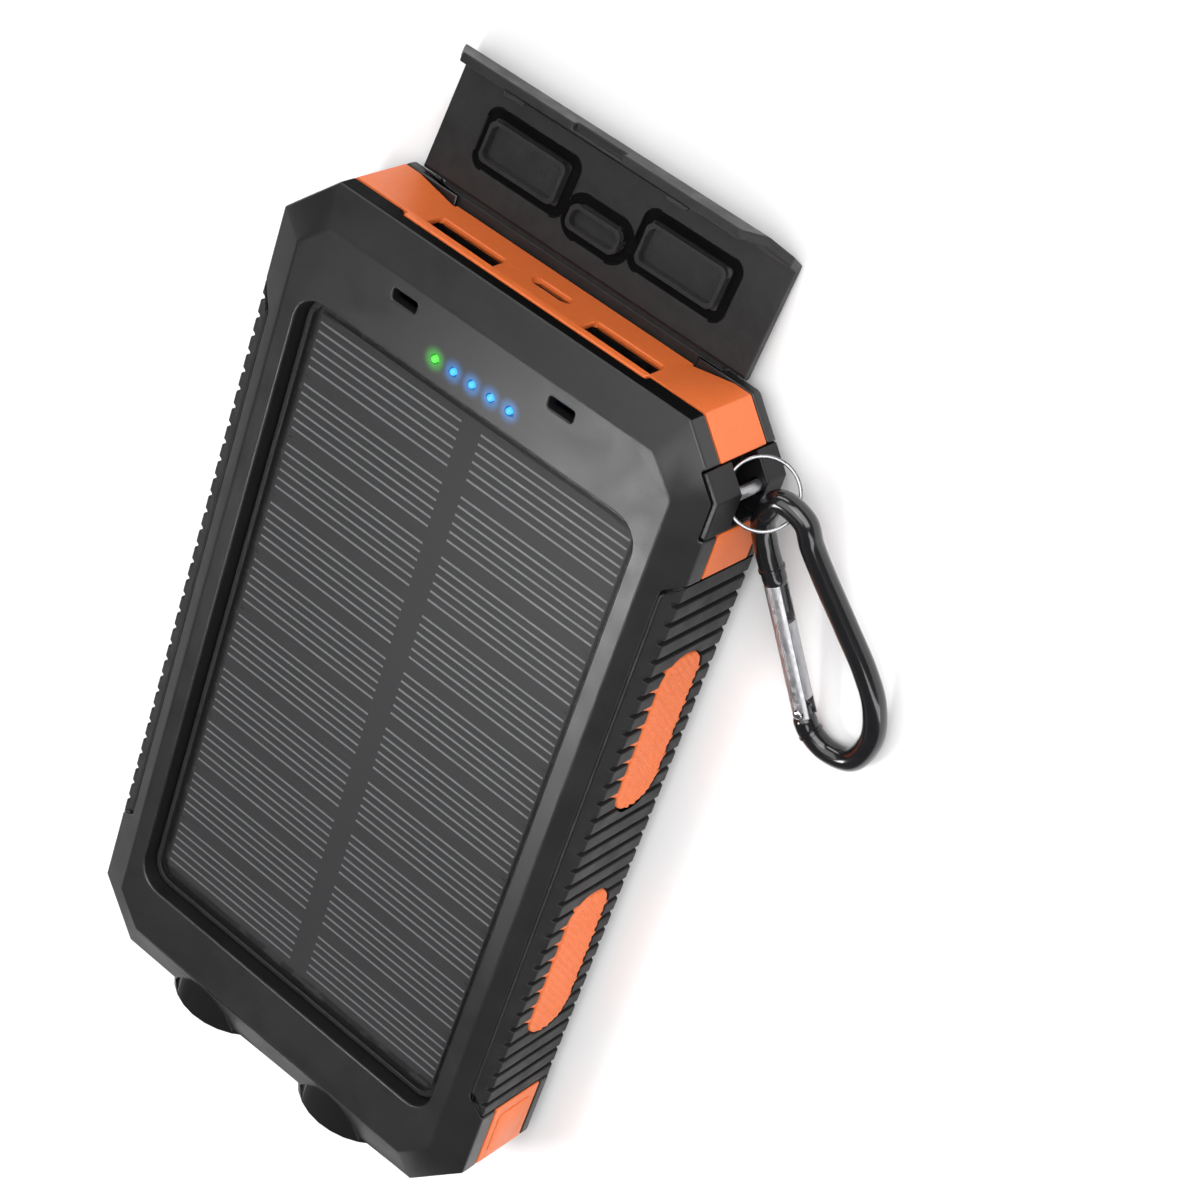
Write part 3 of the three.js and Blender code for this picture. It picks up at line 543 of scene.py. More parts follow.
class CHARGER_OT_materials(bpy.types.Operator):
    """Mix the plastics, rubbers, metals and lights that the pieces share"""

    bl_idname = "charger.materials"
    bl_label = "Mix the materials"

    def execute(self, context):
        scene = context.scene
        case, grip, clip = scene.charger_case, scene.charger_grip, scene.charger_clip
        moulded_plastic("Grained grey plastic", case.grey, 0.36, case.grain, 0.022 * MM)
        _, shader = moulded_plastic("Satin orange plastic", case.orange, 0.42, 0.12 * MM, 0.006 * MM, 0.03)
        shader.inputs["Subsurface Weight"].default_value = 0.06
        shader.inputs["Subsurface Radius"].default_value = (1.2 * MM, 0.5 * MM, 0.2 * MM)
        moulded_plastic("Orange rubber", case.orange, 0.55, 0.15 * MM, 0.01 * MM, 0.05)
        moulded_plastic("Polished black plastic", case.black, 0.28, 0.5 * MM, 0.003 * MM, gloss=0.4)
        moulded_plastic("Satin black plastic", case.black, 0.4, 0.15 * MM, 0.008 * MM, gloss=0.3)
        # Near-black plastic with almost no gloss: painted shade for the upright wall at the port end of the
        # front bezel.
        moulded_plastic(
            "Matte black plastic", [c * 0.4 for c in case.black], 0.6, 0.15 * MM, 0.008 * MM, gloss=0.06
        )
        soft_rubber("Ribbed grip rubber", grip.rubber, 0.6)
        soft_rubber("Gasket rubber", [c * 0.6 for c in grip.rubber], 0.5)
        soft_rubber("Cover rubber", scene.charger_cover.rubber, 0.5, 0.32)
        # The cover's rubber at 0.15 of its brightness and with little gloss: painted shade for the channels
        # round the seals.
        soft_rubber("Painted moat shade rubber", [c * 0.15 for c in scene.charger_cover.rubber], 0.7, 0.06)
        plated_metal("Nickel plate", clip.metal, 0.2)
        plated_metal("Brushed nickel", clip.metal, 0.4, True)
        plated_metal("Mirror film", (0.9, 0.9, 0.92), 0.08)
        # The plating at 0.12 of its brightness: painted shade for the socket shells inside the port openings.
        plated_metal("Shaded steel", [c * 0.12 for c in clip.metal], 0.4)
        plated_metal("Spring steel", [c * 0.45 for c in clip.metal], 0.25)
        plated_metal("Contact metal", (0.16, 0.13, 0.09), 0.35)
        gloss_paint("Black enamel", clip.enamel)
        circuit_board("Green board", (0.012, 0.075, 0.035), (0.10, 0.16, 0.06))
        circuit_board("Black board", (0.012, 0.012, 0.013), (0.03, 0.03, 0.03))
        crinkled_foil("Pouch foil", (0.55, 0.57, 0.6))
        moulded_plastic("Red insulation", (0.45, 0.03, 0.02), 0.35, 0.2 * MM, 0.004 * MM)
        moulded_plastic("Black insulation", (0.02, 0.02, 0.02), 0.35, 0.2 * MM, 0.004 * MM)
        return {"FINISHED"}


def near_torch(point, reach):
    return any(math.hypot(point.x - x, point.z - TORCH_Z) < reach for x in (TORCH_X, -TORCH_X))


class CHARGER_OT_case(bpy.types.Operator):
    """Round and grain the front bezel, the orange middle frame and the back shell"""

    bl_idname = "charger.case"
    bl_label = "Build the case"

    def execute(self, context):
        settings = context.scene.charger_case
        grey = "Grained grey plastic"
        gloss = "Polished black plastic"
        shade = "Matte black plastic"
        for node, name in (("front_bezel", "front_bezel_moulding"), ("back_shell", "back_shell_moulding")):
            piece = refine(node, name, "case", "front_grey", grey, gloss, shade, radius=settings.edge_round)
            for face in piece.data.polygons:
                centre = face.center
                outwards = Vector((face.normal.x, face.normal.z)).length
                on_cup = near_torch(centre, CUP_OUTER) and not near_torch(centre, CUP_INNER)
                if on_cup and centre.y < CUP_BACK and (outwards > 0.5 or centre.y < CUP_FRONT):
                    face.material_index = 1
                # Painted shade: the front bezel's upright wall at the port end takes the near-black, almost
                # glossless plastic, so it stays dark under the lights.
                if node == "front_bezel" and face.normal.y > 0.9 and centre.y > 68 * MM:
                    face.material_index = 2
        refine(
            "middle_frame",
            "middle_frame_moulding",
            "case",
            "frame_orange",
            "Satin orange plastic",
            radius=0.25 * MM,
            split=True,
        )
        self.add_corner_panels()
        return {"FINISHED"}

    def add_corner_panels(self):
        """The slightly raised rectangles on the orange corners; the lug takes the place of one."""
        form = bmesh.new()
        face = 40 * MM
        for side, y in ((1, -57.4 * MM), (-1, -57.4 * MM), (-1, 57.4 * MM)):
            rings = []
            for grow, out in ((0.0, -0.2), (0.0, 0.1), (-0.22, 0.24)):
                outline = rounded_outline((8.2 + 2 * grow) * MM, (7.6 + 2 * grow) * MM, 0.9 * MM, 4)
                rings.append([Vector((side * (face + out * MM), y + a, 10.75 * MM + b)) for a, b in outline])
            loft(form, rings)
        add_piece("corner_panels", form, "case", "frame_orange", "Satin orange plastic", smooth=30)


class CHARGER_OT_screws(bpy.types.Operator):
    """Finish the four case screws"""

    bl_idname = "charger.screws"
    bl_label = "Finish the screws"

    def execute(self, context):
        for node in [n for n in NODES if n.startswith("case_screw_")]:
            refine(node, f"{node}_turned", "case", "nickel", "Brushed nickel", radius=0.1 * MM)
        return {"FINISHED"}


class CHARGER_OT_grips(bpy.types.Operator):
    """Round the ribs of the two rubber side grips"""

    bl_idname = "charger.grips"
    bl_label = "Build the side grips"

    def execute(self, context):
        settings = context.scene.charger_grip
        for side in ("right", "left"):
            refine(
                f"side_grip_{side}",
                f"ribbed_grip_{side}",
                "case",
                "rubber_black",
                "Ribbed grip rubber",
                radius=settings.rib_round,
            )
        return {"FINISHED"}


def diamond_height(along, across, pitch):
    """0 in the grooves and 1 on the tips of a knurl of crossed grooves."""
    u = (along + across) / pitch % 1
    v = (along - across) / pitch % 1
    ridge = min(1, 2.6 * min(u, 1 - u)) * min(1, 2.6 * min(v, 1 - v))
    return ridge


def into_rounded(y, z, half_y, half_z, radius):
    """The nearest point inside a rectangle with round corners."""
    corner_y, corner_z = half_y - radius, half_z - radius
    dy, dz = abs(y) - corner_y, abs(z) - corner_z
    if dy > 0 and dz > 0:
        reach = math.hypot(dy, dz)
        if reach > radius:
            y = math.copysign(corner_y + dy * radius / reach, y)
            z = math.copysign(corner_z + dz * radius / reach, z)
    return y, z


class CHARGER_OT_pads(bpy.types.Operator):
    """Build the orange pads with their small diamonds, and the power button in the same style"""

    bl_idname = "charger.pads"
    bl_label = "Build the pads"

    def execute(self, context):
        settings = context.scene.charger_grip
        for node in ("grip_pad_right_rear", "grip_pad_right_front", "grip_pad_left_rear", "power_button"):
            low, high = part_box(node)
            side = 1 if low.x > 0 else -1
            inner = min(abs(low.x), abs(high.x))
            outer = max(abs(low.x), abs(high.x))
            middle = (low + high) / 2
            half_y, half_z = (high.y - low.y) / 2, (high.z - low.z) / 2
            form = bmesh.new()
            columns, rows = 150, 50
            edge = 0.35 * MM
            grid = []
            for i in range(columns + 1):
                line = []
                for j in range(rows + 1):
                    y, z = into_rounded(
                        -half_y + 2 * half_y * i / columns,
                        -half_z + 2 * half_z * j / rows,
                        half_y,
                        half_z,
                        PAD_CORNER,
                    )
                    inset = min(half_y - abs(y), half_z - abs(z))
                    corner = math.hypot(
                        max(0, abs(y) - half_y + PAD_CORNER), max(0, abs(z) - half_z + PAD_CORNER)
                    )
                    inset = min(inset, PAD_CORNER - corner)
                    crown = min(1, max(0, inset) / edge)
                    height = outer - settings.relief * 1.5 * (1 - math.sqrt(1 - (1 - crown) ** 2))
                    height -= settings.relief * (1 - diamond_height(y, z, settings.diamond)) * crown
                    height -= 0.25 * MM * (1 - crown)
                    line.append(form.verts.new((side * height, middle.y + y, middle.z + z)))
                grid.append(line)
            for i in range(columns):
                for j in range(rows):
                    form.faces.new((grid[i][j], grid[i + 1][j], grid[i + 1][j + 1], grid[i][j + 1]))
            rim = [edge for edge in form.edges if edge.is_boundary]
            wall = bmesh.ops.extrude_edge_only(form, edges=rim)["geom"]
            for vert in (v for v in wall if isinstance(v, bmesh.types.BMVert)):
                vert.co.x = side * inner
            bmesh.ops.contextual_create(form, geom=[e for e in form.edges if e.is_boundary])
            bmesh.ops.remove_doubles(form, verts=form.verts, dist=0.004 * MM)
            if node != "power_button":
                self.add_peaks(form, side, middle, half_y, half_z, outer)
            body = "power_button" if node == "power_button" else "case"
            add_piece(
                f"{node}_knurled", form, body, "pad_orange", "Orange rubber", replaced=(node,), smooth=50
            )
        return {"FINISHED"}

    def add_peaks(self, form, side, middle, half_y, half_z, outer):
        """The points where the orange runs a little way into the grip's grooves."""
        for i in range(GROOVES):
            y = side * (FIRST_GROOVE + i * GROOVE_PITCH)
            if abs(y - middle.y) > half_y - 2.4 * MM:
                continue
            for up in (1, -1):
                rings = []
                for reach, half in ((-0.5, 0.42), (0.55, 0.4), (1.5, 0.16)):
                    z = middle.z + up * (half_z + reach * MM)
                    top = outer - (0.3 + 0.25 * max(0, reach)) * MM
                    rings.append(
                        [
                            Vector((side * x, y + s * half * MM, z))
                            for x, s in ((38.95 * MM, -1), (38.95 * MM, 1), (top, 0.8), (top, -0.8))
                        ]
                    )
                loft(form, rings)


class CHARGER_OT_panel(bpy.types.Operator):
    """Lay the silver lines on the solar cells and fit the clear sheet over them"""

    bl_idname = "charger.panel"
    bl_label = "Build the solar panel"

    def execute(self, context):
        settings = context.scene.charger_panel
        dark = tuple(settings.silicon)
        cells, _ = banded("Etched silicon", (dark, tuple(c * 1.35 for c in dark)), 0.3 * MM, 0.7)
        silver = plated_metal("Silver paste", settings.silver, 0.5)
        silver.node_tree.nodes["Principled BSDF"].inputs["Metallic"].default_value = 0.2
        self.add_resin(cells)
        for side in ("left", "right"):
            paint(NODES[f"solar_cells_{side}"], cells)
            self.add_lines(settings, side, silver)
        sheet, shader = surface("Clear cover sheet", (0.012, 0.012, 0.013), 0.4)
        shader.inputs["Alpha"].default_value = 0.12
        relief(sheet, shader, noise(sheet, 0.5 * MM, 2), 0.004 * MM, 0.4)
        refine("panel_cover_sheet", "clear_cover_sheet", "case", "clear_sheet", sheet, radius=0.05 * MM)
        refine(
            "panel_gasket", "panel_gasket_rubber", "case", "rubber_black", "Gasket rubber", radius=0.15 * MM
        )
        paint(NODES["panel_board"], "Black board")
        return {"FINISHED"}

    def add_resin(self, cells):
        """The dark resin that fills the panel level between the cells."""
        low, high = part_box("panel_cover_sheet")
        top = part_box("solar_cells_left")[1].z
        middle = (low + high) / 2
        form = bmesh.new()
        outline = rounded_outline(high.x - low.x - 3 * MM, high.y - low.y - 3 * MM, 3.4 * MM)
        levels = (top - 0.1 * MM, top - 0.015 * MM)
        loft(form, [[Vector((middle.x + x, middle.y + y, z)) for x, y in outline] for z in levels])
        add_piece("cell_resin", form, "case", "solar_silicon", cells)

    def add_lines(self, settings, side, silver):
        low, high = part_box(f"solar_cells_{side}")
        rows = 10
        cell = (high.y - low.y) / rows
        form = bmesh.new()
        for row in range(rows):
            for line in range(settings.lines):
                y = low.y + (row + 0.5) * cell + (line - (settings.lines - 1) / 2) * settings.line_pitch
                inset = 0.25 * MM
                add_box(
                    form,
                    (low.x + inset, y - settings.line_width / 2, high.z),
                    (high.x - inset, y + settings.line_width / 2, high.z + 0.03 * MM),
                )
        add_piece(f"silver_lines_{side}", form, "case", "solar_silicon", silver)


class CHARGER_OT_indicators(bpy.types.Operator):
    """Light the green charging light and the four blue level lights"""

    bl_idname = "charger.indicators"
    bl_label = "Build the indicator lights"

    def execute(self, context):
        settings = context.scene.charger_indicator
        green = glowing("Green light", settings.green, settings.glow, (0.02, 0.12, 0.02))
        blue = glowing("Blue light", settings.blue, settings.glow, (0.01, 0.05, 0.14))
        for number in range(1, 6):
            node = f"indicator_light_{number}"
            low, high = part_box(node)
            middle = (low + high) / 2
            radius = (high.x - low.x) / 2
            form = bmesh.new()
            profile = [(radius, low.z), (radius, high.z)]
            for k in range(1, 6):
                angle = math.pi / 2 * k / 5.4
                profile.append((radius * math.cos(angle), high.z + 0.32 * MM * math.sin(angle)))
            rings = [section(Vector((middle.x, middle.y, z)), X_AXIS, Y_AXIS, r, 20) for r, z in profile]
            loft(form, rings)
            add_piece(
                f"light_guide_{number}",
                form,
                "case",
                "light_green" if number == 1 else "light_blue",
                green if number == 1 else blue,
                replaced=(node,),
            )
        self.add_spill(settings)
        return {"FINISHED"}

    def add_spill(self, settings):
        """The soft light that each guide throws on the shell round it."""
        shell = bpy.data.objects["front_bezel_moulding"]
        lit = material_named("Grained grey plastic").copy()
        lit.name = "Lit grey plastic"
        shell.data.materials[0] = lit
        shader = lit.node_tree.nodes["Principled BSDF"]
        falls = []
        for number in range(1, 6):
            low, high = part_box(f"indicator_light_{number}")
            reach = add_node(lit, "ShaderNodeVectorMath", operation="DISTANCE")
            reach.inputs[1].default_value = ((low.x + high.x) / 2, (low.y + high.y) / 2, high.z)
            wire(lit, object_place(lit), reach.inputs[0])
            distance = reach.outputs["Value"]
            falls.append(remap(lit, distance, (2.4 * MM, 0.3 * MM), (0, 1), "SMOOTHERSTEP"))
        nearer = add_node(lit, "ShaderNodeMath", operation="GREATER_THAN")
        wire(lit, falls[0], nearer.inputs[0])
        wire(lit, falls[1], nearer.inputs[1])
        two_tone(lit, shader, settings.blue, settings.green, nearer.outputs[0], "Emission Color")
        total = falls[0]
        for fall in falls[1:]:
            most = add_node(lit, "ShaderNodeMath", operation="MAXIMUM")
            wire(lit, total, most.inputs[0])
            wire(lit, fall, most.inputs[1])
            total = most.outputs[0]
        strength = add_node(lit, "ShaderNodeMath", operation="MULTIPLY")
        strength.inputs[1].default_value = 0.45
        wire(lit, total, strength.inputs[0])
        wire(lit, strength.outputs[0], shader.inputs["Emission Strength"])


# The side view of a USB contact, in millimetres: y towards the port, and its rise.
CONTACT_BEND = ((59.8, 0.0), (61.0, -0.02), (64.0, -0.32), (66.0, -0.42), (66.8, -0.18), (67.2, 0.0))


class CHARGER_OT_ports(bpy.types.Operator):
    """Finish the USB and charging sockets, with the contacts on their tongues"""

    bl_idname = "charger.ports"
    bl_label = "Build the ports"

    def execute(self, context):
        for node in ("usb_socket_left", "usb_socket_right", "charge_socket"):
            # The socket shells take the darkened steel: painted shade inside the openings.
            refine(node, f"{node}_pressed", "case", "nickel", "Shaded steel", radius=0.07 * MM)
        for node in ("usb_tongue_left", "usb_tongue_right", "charge_tongue"):
            refine(node, f"{node}_moulding", "case", "plastic_black", "Satin black plastic", radius=0.12 * MM)
        for side in ("left", "right"):
            low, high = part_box(f"usb_tongue_{side}")
            middle = (low.x + high.x) / 2
            form = bmesh.new()
            under = high.z - 1.75 * MM
            for offset in (-3.5, -1.0, 1.0, 3.5):
                x = middle + offset * MM
                for (y0, z0), (y1, z1) in zip(CONTACT_BEND, CONTACT_BEND[1:]):
                    rings = [
                        [
                            Vector((x + s * 0.45 * MM, y * MM, under + (z + t) * MM))
                            for s, t in ((-1, 0), (1, 0), (1, 0.08), (-1, 0.08))
                        ]
                        for y, z in ((y0, z0), (y1, z1))
                    ]
                    loft(form, rings)
            bmesh.ops.remove_doubles(form, verts=form.verts, dist=0.001 * MM)
            add_piece(f"usb_contacts_{side}", form, "case", "nickel", "Contact metal")
        return {"FINISHED"}


def hinge_turn():
    """From the closed cover's own frame, whose origin is the hinge, to where it lies open."""
    return Matrix.Translation(HINGE) @ Matrix.Rotation(-COVER_OPEN, 4, "X")


def channel(width, height, radius, wall, centre, face, depth):
    """A ring-shaped cutter: a channel round a seal, with a small bevel along its outer edge."""
    form = bmesh.new()
    inner = rounded_outline(width - 2 * wall, height - 2 * wall, max(radius - wall, 0.4 * MM))
    loops = []
    for grow, y in ((0.61, -0.4), (0.0, 0.21)):
        size = 2 * grow * MM
        outline = rounded_outline(width + size, height + size, radius + size / 2)
        loops.append([form.verts.new((centre[0] + x, face + y * MM, centre[1] + z)) for x, z in outline])
    outer = rounded_outline(width, height, radius)
    for outline, y in ((outer, face + depth), (inner, face + depth), (inner, face - 0.4 * MM)):
        loops.append([form.verts.new((centre[0] + x, y, centre[1] + z)) for x, z in outline])
    loops.append(loops[0])
    for a, b in zip(loops, loops[1:]):
        for i in range(len(a)):
            j = (i + 1) % len(a)
            form.faces.new((a[i], a[j], b[j], b[i]))
    bmesh.ops.recalc_face_normals(form, faces=form.faces)
    form.transform(hinge_turn())
    mesh = bpy.data.meshes.new("channel")
    form.to_mesh(mesh)
    form.free()
    cutter = bpy.data.objects.new("channel", mesh)
    bpy.context.scene.collection.objects.link(cutter)
    return cutter


SEALS = (
    # width, height, corner, distance across, height over the hinge
    (14.0, 6.3, 2.0, PORT_X / MM, 8.35),
    (14.0, 6.3, 2.0, -PORT_X / MM, 8.35),
    (9.2, 3.8, 3.25, 0.0, 5.9),
)


class CHARGER_OT_cover(bpy.types.Operator):
    """Build the rubber port cover with a moat round each seal, and its bending strip"""

    bl_idname = "charger.cover"
    bl_label = "Build the port cover"

    def execute(self, context):
        settings = context.scene.charger_cover
        rubber = "Cover rubber"
        # The channels are the cover's own rubber; their darker material is painted shade.
        moat = "Painted moat shade rubber"
        piece = add_piece(
            "port_cover_moulding",
            cad_form("port_cover"),
            "port_cover",
            "cover_rubber",
            rubber,
            moat,
            replaced=("port_cover",),
        )
        round_edges(piece, settings.edge_round, 3)
        finish_modifiers(piece)
        inner_face = -0.7 * MM
        for width, height, corner, across, up in SEALS:
            cutter = channel(
                (width + 3) * MM,
                (height + 3) * MM,
                corner * MM,
                1.45 * MM,
                (across * MM, up * MM),
                inner_face,
                settings.moat,
            )
            cut = piece.modifiers.new("Moat", "BOOLEAN")
            cut.operation = "DIFFERENCE"
            cut.object = cutter
            cut.solver = "EXACT"
        finish_modifiers(piece)
        for cutter in [o for o in bpy.data.objects if o.name.startswith("channel")]:
            bpy.data.objects.remove(cutter)
        paint(piece, rubber, moat)
        self.paint_moat_shade(piece.data, inner_face)
        mesh = even_shading(piece)
        if len(mesh.polygons) < 100:
            raise RuntimeError("the port cover lost its faces when its moats were cut")
        refine("cover_strip", "cover_strip_moulding", "case", "cover_rubber", rubber, radius=0.2 * MM)
        self.add_web(rubber)
        return {"FINISHED"}

    def paint_moat_shade(self, mesh, inner_face):
        # Faces in the channels round the seals take the second, darker material: painted shade in the
        # recesses.
        back = hinge_turn().inverted()
        for face in mesh.polygons:
            place = back @ face.center
            depth = place.y - inner_face
            for width, height, _, across, up in SEALS:
                x, z = abs(place.x - across * MM), abs(place.z - up * MM)
                outside = x < (width / 2 + 1.6) * MM and z < (height / 2 + 1.6) * MM
                if outside and 0.02 * MM < depth < 0.6 * MM:
                    face.material_index = 1

    def add_web(self, rubber):
        """The thin strip that bends between the case and the cover."""
        form = bmesh.new()
        half = 25.6 * MM
        rings = []
        for x in (-half, half):
            rings.append(
                [
                    Vector((x, HINGE.y + y * MM, HINGE.z + z * MM))
                    for y, z in (
                        (-1.3, -0.3),
                        (-0.9, -0.3),
                        (-0.45, -0.28),
                        (-0.1, -0.25),
                        (-0.1, 0.2),
                        (-0.45, 0.25),
                        (-0.9, 0.3),
                        (-1.3, 0.35),
                    )
                ]
            )
        loft(form, rings)
        web = add_piece("cover_bending_strip", form, "case", "cover_rubber", rubber)
        web.parent = None
        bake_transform(web)


class CHARGER_OT_torches(bpy.types.Operator):
    """Build the two torches: ringed lenses, mirror cups and LEDs"""

    bl_idname = "charger.torches"
    bl_label = "Build the torches"

    def execute(self, context):
        settings = context.scene.charger_torch
        lit = glowing("Lit torch lens", settings.light, settings.glow, (0.9, 0.9, 0.88))
        for side, x in (("left", -TORCH_X), ("right", TORCH_X)):
            low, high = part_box(f"torch_lens_{side}")
            form = bmesh.new()
            front, back = low.y, high.y
            outer = (high.x - low.x) / 2
            profile = [(0.02 * MM, back), (outer * 0.99, back), (outer, back - 0.1 * MM)]
            profile += [(outer, front + 1.1 * MM)]
            for step in range(1, 13):
                share = 1 - step / 12.5
                rise = 1.1 * MM * (1 - share**2)
                ripple = 0.09 * MM if step % 2 else 0
                profile.append((outer * share, front + 1.1 * MM - rise + ripple))
            profile.append((0.02 * MM, front))
            lathe(form, profile, Vector((x, 0, TORCH_Z)))
            replaced = (f"torch_lens_{side}",)
            add_piece(f"ringed_lens_{side}", form, "case", "lens_clear", lit, replaced=replaced)
            paint(NODES[f"torch_reflector_{side}"], "Mirror film")
            led = glowing(f"Phosphor {side}", (1.0, 0.78, 0.35), 2.0, (0.9, 0.75, 0.25))
            paint(NODES[f"torch_led_{side}"], led)
        return {"FINISHED"}


# The carabiner is drawn flat, in millimetres: x across, positive on the gate's side, y along it.
HOOK_KNOTS = (
    (4.5, 13.9),
    (4.75, 8.8),
    (4.15, 4.7),
    (0.8, 1.85),
    (-2.45, 4.6),
    (-2.75, 8.2),
    (-3.7, 13.0),
    (-5.4, 20.0),
    (-7.0, 27.0),
    (-7.3, 32.0),
    (-5.7, 37.6),
    (-1.6, 41.4),
    (2.3, 40.4),
    (4.4, 37.6),
    (4.75, 35.9),
)
GATE_X = 4.55


def carabiner_plane():
    """Where the carabiner lies, from the joints that carry it."""
    across = Vector(JOINTS["carabiner_swing"]["axis"]).normalized()
    out = Vector(JOINTS["carabiner_gate_hinge"]["axis"]).normalized()
    along = out.cross(across).normalized()
    eye = Vector(JOINTS["carabiner_swing"]["pos_m"])
    origin = eye - along * 1.85 * MM - across * 0.8 * MM
    return origin, across, along, out


class CHARGER_OT_clip(bpy.types.Operator):
    """Build the lug, its post, the double-turn split ring and the carabiner"""

    bl_idname = "charger.clip"
    bl_label = "Build the lug and the clip"

    def execute(self, context):
        refine(
            "lug_block",
            "lug_block_moulding",
            "case",
            "plastic_black",
            "Satin black plastic",
            radius=0.25 * MM,
        )
        refine("lug_post", "lug_post_turned", "case", "nickel", "Brushed nickel", radius=0.12 * MM)
        self.add_ring()
        self.add_hook(context.scene.charger_clip)
        refine(
            "carabiner_gate",
            "carabiner_gate_pressed",
            "carabiner_gate",
            "nickel",
            "Brushed nickel",
            radius=0.1 * MM,
        )
        self.add_rivet()
        return {"FINISHED"}

    def add_ring(self):
        """Two flat turns of wire lying side by side, with the step where one turn passes the other."""
        mesh = NODES["split_ring"].data
        points = [v.co.copy() for v in mesh.vertices]
        centre = sum(points, Vector()) / len(points)
        radius = sum((p - centre).length for p in points) / len(points)
        normal = Vector()
        count = len(points)
        for i in range(0, count, 7):
            turn = (points[i] - centre).cross(points[(i + count // 4) % count] - centre)
            if turn.length > (0.3 * radius) ** 2:
                normal += turn if turn.dot(normal) >= 0 else -turn
        normal.normalize()
        u = normal.orthogonal().normalized()
        v = normal.cross(u)
        path = []
        steps = 132
        for i in range(steps + 1):
            turn = i / steps * 2
            angle = turn * 2 * math.pi + 0.6
            step = min(1, max(0, (turn - 0.93) / 0.14))
            shift = (step * step * (3 - 2 * step) - 0.5) * 0.34 * MM
            path.append(centre + (u * math.cos(angle) + v * math.sin(angle)) * radius + normal * shift)
        form = bmesh.new()
        rings = []
        for i, point in enumerate(path):
            out = (point - centre) - normal * (point - centre).dot(normal)
            out.normalize()
            rings.append(
                [
                    point + out * a * MM + normal * b * MM
                    for a, b in (
                        (0.25, 0.07),
                        (0.18, 0.14),
                        (-0.18, 0.14),
                        (-0.25, 0.07),
                        (-0.25, -0.07),
                        (-0.18, -0.14),
                        (0.18, -0.14),
                        (0.25, -0.07),
                    )
                ]
            )
        loft(form, rings)
        add_piece(
            "split_ring_turns",
            form,
            "split_ring",
            "nickel",
            "Spring steel",
            replaced=("split_ring",),
            smooth=50,
        )

    def add_hook(self, settings):
        origin, across, along, out = carabiner_plane()

        def place(x, y, z=0.0):
            return origin + across * x * MM + along * y * MM + out * z * MM

        form = bmesh.new()
        path = smooth_path([place(*knot) for knot in HOOK_KNOTS], 9)
        sweep(form, path, settings.wire, out, steps=24, round_ends=4)
        for y0, y1 in ((13.6, 19.2), (33.4, 36.8)):
            rings = []
            for y, grow in ((y0, 1.0), (y1 - 0.5, 1.0), (y1, 0.6)):
                outline = rounded_outline(2.2 * grow, 1.2 * grow, 0.3, 3)
                rings.append([place(GATE_X + a, y, b) for a, b in outline])
            loft(form, rings)
        for y in (12.1, 37.9):
            nearest = min(
                (p for p in path if (p - origin).dot(across) > 3.2 * MM),
                key=lambda p: abs((p - origin).dot(along) - y * MM),
            )
            i = path.index(nearest)
            tangent = (path[min(i + 1, len(path) - 1)] - path[i - 1]).normalized()
            collar = [nearest + tangent * t * MM for t in (-0.35, -0.22, 0.22, 0.35)]
            u = out.cross(tangent).normalized()
            rings = [
                section(point, u, out, settings.wire + grow * MM, 24)
                for point, grow in zip(collar, (0.0, 0.16, 0.16, 0.0))
            ]
            loft(form, rings)
        add_piece(
            "carabiner_hook_wire",
            form,
            "carabiner",
            "black_enamel",
            "Black enamel",
            replaced=("carabiner_hook",),
            smooth=50,
        )

    def add_rivet(self):
        """The gate's pin, peened into a low dome at both ends."""
        _, across, along, out = carabiner_plane()
        low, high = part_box("gate_pivot_pin")
        centre = (low + high) / 2
        form = bmesh.new()
        profile = [(-2.0, 0.2), (-1.95, 0.55), (-1.8, 0.72), (-1.66, 0.76), (-1.64, 0.48)]
        profile += [(-z, r) for z, r in reversed(profile)]
        rings = [section(centre + out * z * MM, across, along, r * MM, 24) for z, r in profile]
        loft(form, rings)
        add_piece("gate_rivet", form, "carabiner", "nickel", "Nickel plate", replaced=("gate_pivot_pin",))


class CHARGER_OT_inner_parts(bpy.types.Operator):
    """Finish the boards, batteries, leads and switch inside the case"""

    bl_idname = "charger.inner_parts"
    bl_label = "Finish the inner parts"

    def execute(self, context):
        finishes = {
            "main_board": "Green board",
            "button_switch": "Satin black plastic",
            "battery_cell_lower": "Pouch foil",
            "battery_cell_upper": "Pouch foil",
            "battery_lead_red": "Red insulation",
            "battery_lead_black": "Black insulation",
            "torch_lead_right": "Red insulation",
            "torch_lead_left": "Black insulation",
        }
        for node, material in finishes.items():
            paint(NODES[node], material)
        return {"FINISHED"}


# ---------------------------------------------------------------- the studio


def soft_light(name, place, target, power, size, colour=(1, 1, 1)):
    light = bpy.data.lights.new(name, "AREA")
    light.shape = "RECTANGLE"
    light.size, light.size_y = size
    light.energy = power
    light.color = colour
    holder = bpy.data.objects.new(name, light)
    bpy.context.scene.collection.objects.link(holder)
    holder.location = place
    holder.rotation_mode = "QUATERNION"
    holder.rotation_quaternion = (Vector(place) - Vector(target)).to_track_quat("Z", "Y")
    return holder


